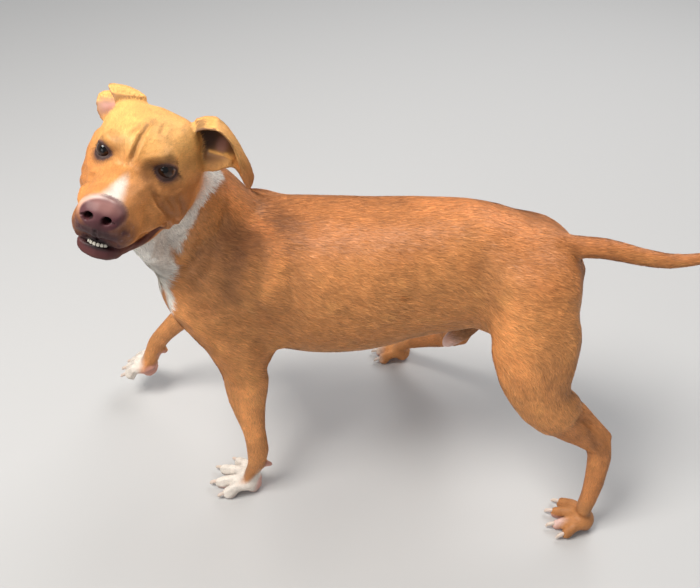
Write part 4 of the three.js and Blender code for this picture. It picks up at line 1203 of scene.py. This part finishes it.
def tuft_mesh(name, grown):
    """One mesh of all the tufts, with their colours, normals and patches on the unwrap."""
    spots, tints, leans, unwrap = grown
    count = len(spots)
    mesh = bpy.data.meshes.new(name)
    mesh.vertices.add(count * 5)
    mesh.vertices.foreach_set("co", spots.astype(np.float32).ravel())
    corners = (np.arange(count)[:, None, None] * 5 + TUFT_FACES[None]).astype(np.int32)
    mesh.loops.add(count * 9)
    mesh.loops.foreach_set("vertex_index", corners.ravel())
    mesh.polygons.add(count * 3)
    mesh.polygons.foreach_set("loop_start", np.arange(0, count * 9, 3, dtype=np.int32))
    mesh.update(calc_edges=True)
    smooth_faces(mesh)
    tint_vertices(mesh, tints.reshape(-1, 3))
    low, high = unwrap.min(0), unwrap.max(0)
    inner = 1 - 2 * PATCH_ACROSS
    spread = (unwrap - low) / (high - low) * inner + PATCH_ACROSS
    patches = spread[:, None, :] + TUFT_PATCH[None] * PATCH_ACROSS
    layer = mesh.uv_layers.new(name="OFBake")
    layer.data.foreach_set("uv", patches[:, TUFT_FACES.ravel()].astype(np.float32).ravel())
    mesh.normals_split_custom_set_from_vertices(leans.reshape(-1, 3))
    return mesh


# Each coat piece: its name, its parts, its side of the dog (0 for both) and its colour slot.
COATS = (
    ("coat_head", ("head", "lower_jaw", "nose"), 0, "coat_face"),
    ("coat_ears", ("ear_left", "ear_right"), 0, "coat_ear"),
    ("coat_neck", ("neck",), 0, "coat_body"),
    ("coat_trunk_left", ("trunk",), 1, "coat_body"),
    ("coat_trunk_right", ("trunk",), -1, "coat_body"),
    ("coat_tail", ("tail",), 0, "coat_body"),
    ("coat_forelegs", ("foreleg_left", "foreleg_right"), 0, "coat_body"),
    ("coat_thighs", ("thigh_left", "thigh_right"), 0, "coat_body"),
    ("coat_hocks", ("hock_left", "hock_right"), 0, "coat_body"),
    ("coat_paws", PAWS, 0, "coat_white"),
)


class DOG_OT_coat(Operator):
    """Short tufts over the skin, following the lie of the hair"""

    bl_idname = "dog.coat"
    bl_label = "Coat"

    def execute(self, context):
        sizes, colours = context.scene.dog_sizes, context.scene.dog_colours
        skin = bpy.data.objects.get("skin")
        if skin is None:
            raise RuntimeError("make the skin first")
        rows = places(skin.data)
        shares = shares_of(nearest_part(rows), links_of(skin.data), SHARE_ROUNDS)
        hide = Hide(skin, shares, colours)
        material = hide_material("hair", 0.5, 0.0)
        for number, (name, parts, side, slot) in enumerate(COATS):
            mesh = tuft_mesh(name, grow(hide, parts, side, sizes, sizes.seed + number))
            mesh.materials.append(material)
            piece = show(mesh, name)
            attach(piece, "root")
        return {"FINISHED"}


def ball(name, centre, radius, axis, segments=64, rings=48):
    """A closed ball whose poles lie on the axis."""
    made = bmesh.new()
    bmesh.ops.create_uvsphere(made, u_segments=segments, v_segments=rings, radius=radius)
    turn = axis.to_track_quat("Z", "Y").to_matrix().to_4x4()
    bmesh.ops.transform(made, matrix=Matrix.Translation(centre) @ turn, verts=made.verts)
    return as_mesh(made, name)


GAZE = Vector((0.95, 0.0, 0.22))  # the way both eyes look, in the head's frame
GAZE_OUT = 0.12  # how far each eye turns outwards from that
CORNEA_RISE = 1.0  # mm
EYE_WHITE, IRIS_RIM, PUPIL = (0.16, 0.10, 0.08), (0.03, 0.012, 0.007), (0.002, 0.002, 0.002)


class DOG_OT_eyes(Operator):
    """Two dark eyeballs with iris, pupil and a clear front"""

    bl_idname = "dog.eyes"
    bl_label = "Eyes"

    def execute(self, context):
        sizes, colours = context.scene.dog_sizes, context.scene.dog_colours
        material, shader = new_material("eyeball")
        hue = material.node_tree.nodes.new("ShaderNodeAttribute")
        hue.attribute_name = TINT
        linked(material, hue.outputs["Color"], shader.inputs["Base Color"])
        shader.inputs["Roughness"].default_value = 0.12
        shader.inputs["Coat Weight"].default_value = 0.3
        shader.inputs["Specular IOR Level"].default_value = 0.2
        shader.inputs["Coat Roughness"].default_value = 0.02
        for node, side in (("eye_left", 1), ("eye_right", -1)):
            centre = middle(node)
            gaze = GAZE + Vector((0, side * GAZE_OUT, 0))
            axis = (HEAD_TURN @ gaze).normalized()
            mesh = ball(node + "ball", centre, sizes.eye_radius, axis)
            rows = places(mesh)
            away = rows - np.array(centre)
            front = away @ np.array(axis)
            ring = np.linalg.norm(away - front[:, None] * np.array(axis), axis=1)
            ring = np.where(front > 0, ring, 1.0)
            iris = sizes.iris_radius
            rise = CORNEA_RISE * MM * (1 - (ring / iris).clip(0, 1) ** 2) ** 0.8
            put(mesh, rows + np.array(axis) * rise[:, None])
            tint = np.tile(np.array(EYE_WHITE), (len(rows), 1))
            tint = paint(tint, IRIS_RIM, 1 - smooth_step(iris * 0.95, iris * 1.12, ring))
            tint = paint(tint, colours.eye, 1 - smooth_step(iris * 0.82, iris * 0.95, ring))
            tint = paint(tint, PUPIL, 1 - smooth_step(iris * 0.42, iris * 0.5, ring))
            tint_vertices(mesh, tint)
            smooth_faces(mesh)
            mesh.materials.append(material)
            piece = show(mesh, "eyeball_" + node.split("_")[1])
            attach(piece, "root")
            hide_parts(node)
        return {"FINISHED"}


CLAW_GROWTH = 0.7 * MM  # makes up for what rounding takes off a claw
TOOTH_ARC = (65.5, 0.0, 14.0)  # the arc's middle, along and across the head, and its radius, in mm
INCISORS = 6
TOOTH_STEP = math.radians(17)  # between neighbours on the arc
TOOTH_TOP = -73.6
INCISOR, CANINE = (1.2, 1.85, 4.1), (2.0, 1.9, 6.5)  # mm, half the thickness and width, and the height
INCISOR_TAPER, CANINE_TAPER = 0.12, 0.55  # how much narrower a tooth is at its tip
SQUARENESS = 0.55  # the power that turns a ball into an incisor's rounded block


class DOG_OT_teeth(Operator):
    """The lower front teeth, on an arc behind the lip"""

    bl_idname = "dog.teeth"
    bl_label = "Teeth"

    def execute(self, context):
        made = bmesh.new()
        ends = (INCISORS - 1) / 2
        for number in range(-1, INCISORS + 1):
            angle = (number - ends) * TOOTH_STEP
            is_canine = number in (-1, INCISORS)
            thick, wide, high = CANINE if is_canine else INCISOR
            spot = (
                TOOTH_ARC[0] + TOOTH_ARC[2] * math.cos(angle) - (4 if is_canine else 0),
                TOOTH_ARC[1] + TOOTH_ARC[2] * math.sin(angle) * (1.25 if is_canine else 1),
                TOOTH_TOP - high / 2 + (2 if is_canine else 0),
            )
            tooth = bmesh.ops.create_uvsphere(made, u_segments=16, v_segments=12, radius=1)["verts"]
            for vertex in tooth:
                if not is_canine:
                    vertex.co = Vector([math.copysign(abs(part) ** SQUARENESS, part) for part in vertex.co])
                along, across, up = vertex.co
                taper = 1 - (CANINE_TAPER if is_canine else INCISOR_TAPER) * max(up, 0)
                local = Vector((along * thick * taper, across * wide * taper, up * high / 2))
                local = Matrix.Rotation(angle, 3, "Z") @ local
                vertex.co = HEAD_AT + HEAD_TURN @ (Vector(spot) + local) * MM
        mesh = as_mesh(made, "teeth")
        smooth_faces(mesh)
        material, _ = plain_material("enamel", context.scene.dog_colours.tooth, 0.25)
        mesh.materials.append(material)
        piece = show(mesh, "teeth")
        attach(piece, "root")
        return {"FINISHED"}


class DOG_OT_claws(Operator):
    """Sixteen blunt curved claws"""

    bl_idname = "dog.claws"
    bl_label = "Claws"

    def execute(self, context):
        material, shader = plain_material("claw_horn", context.scene.dog_colours.claw, 0.35)
        shader.inputs["Subsurface Weight"].default_value = 0.2
        shader.inputs["Subsurface Radius"].default_value = (0.004, 0.002, 0.001)
        for node in CLAWS:
            mesh = merged(node, CLAW_GROWTH)
            piece = show(mesh, node.replace("claw", "nail"))
            rounder = piece.modifiers.new("rounder", "SUBSURF")
            rounder.levels = rounder.render_levels = 2
            mesh = applied(piece)
            smooth_faces(mesh)
            mesh.materials.clear()
            mesh.materials.append(material)
            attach(piece, "root")
            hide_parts(node)
        return {"FINISHED"}


CAMERA_IN_BODY = (-276.5, 942.8, 1124.5)  # mm, the camera in the body's frame
CAMERA_TURN = tuple(math.radians(angle) for angle in (50.908, 0.451, -170.175))
CAMERA_LENS = 42.28


def lamp(name, place, target, power, size, tint=(1, 1, 1)):
    """A soft square lamp aimed at a place."""
    data = bpy.data.lights.new(name, "AREA")
    data.energy = power
    data.size = size
    data.color = tint
    piece = bpy.data.objects.new(name, data)
    piece.location = place
    piece.rotation_euler = (Vector(target) - Vector(place)).to_track_quat("-Z", "Y").to_euler()
    bpy.context.scene.collection.objects.link(piece)


class DOG_OT_stage(Operator):
    """Pale floor, soft light and the camera"""

    bl_idname = "dog.stage"
    bl_label = "Stage"

    def execute(self, context):
        scene = context.scene
        sizes, colours = scene.dog_sizes, scene.dog_colours
        made = bmesh.new()
        bmesh.ops.create_grid(made, x_segments=1, y_segments=1, size=sizes.floor_size / 2)
        floor = show(as_mesh(made, "floor"), "floor")
        material, _ = plain_material("floor", colours.floor, 0.8)
        floor.data.materials.append(material)
        world = bpy.data.worlds.new("studio")
        world.use_nodes = True
        world.node_tree.nodes["Background"].inputs["Color"].default_value = (0.93, 0.96, 1, 1)
        world.node_tree.nodes["Background"].inputs["Strength"].default_value = 0.42
        scene.world = world
        lamp("key", (1.1, 0.9, 3.0), (0, 0, 0.4), 100, 1.2, (1, 0.97, 0.92))
        lamp("back", (-0.9, -1.9, 2.6), (0, 0, 0.4), 45, 1.8)
        lamp("front", (1.6, 2.6, 1.2), (0.2, 0, 0.5), 14, 1.4)
        camera = bpy.data.cameras.new("camera")
        camera.lens = CAMERA_LENS
        camera.sensor_width = 36
        camera.clip_start = 0.05
        piece = bpy.data.objects.new("camera", camera)
        piece.location = BODY_AT + Vector(CAMERA_IN_BODY) * MM
        piece.rotation_euler = CAMERA_TURN
        scene.collection.objects.link(piece)
        scene.camera = piece
        scene.view_settings.view_transform = "Standard"
        return {"FINISHED"}


class DOG_PT_panel(Panel):
    """The pieces of the dog"""

    bl_label = "Dog"
    bl_idname = "DOG_PT_panel"
    bl_space_type = "VIEW_3D"
    bl_region_type = "UI"
    bl_category = "Dog"

    def draw(self, context):
        for step in STEPS:
            self.layout.operator(step.bl_idname)


STEPS = (DOG_OT_skin, DOG_OT_coat, DOG_OT_eyes, DOG_OT_teeth, DOG_OT_claws, DOG_OT_stage)
CLASSES = (DogSizes, DogColours, *STEPS, DOG_PT_panel)


def register():
    """Adds the classes and the sizes and colours to the scene."""
    for item in CLASSES:
        bpy.utils.register_class(item)
    bpy.types.Scene.dog_sizes = PointerProperty(type=DogSizes)
    bpy.types.Scene.dog_colours = PointerProperty(type=DogColours)


def unregister():
    """Removes what register added."""
    del bpy.types.Scene.dog_sizes
    del bpy.types.Scene.dog_colours
    for item in reversed(CLASSES):
        bpy.utils.unregister_class(item)


def main():
    """Builds every piece and the stage."""
    register()
    bpy.ops.dog.skin()
    bpy.ops.dog.coat()
    bpy.ops.dog.eyes()
    bpy.ops.dog.teeth()
    bpy.ops.dog.claws()
    bpy.ops.dog.stage()


if __name__ == "__main__":
    main()
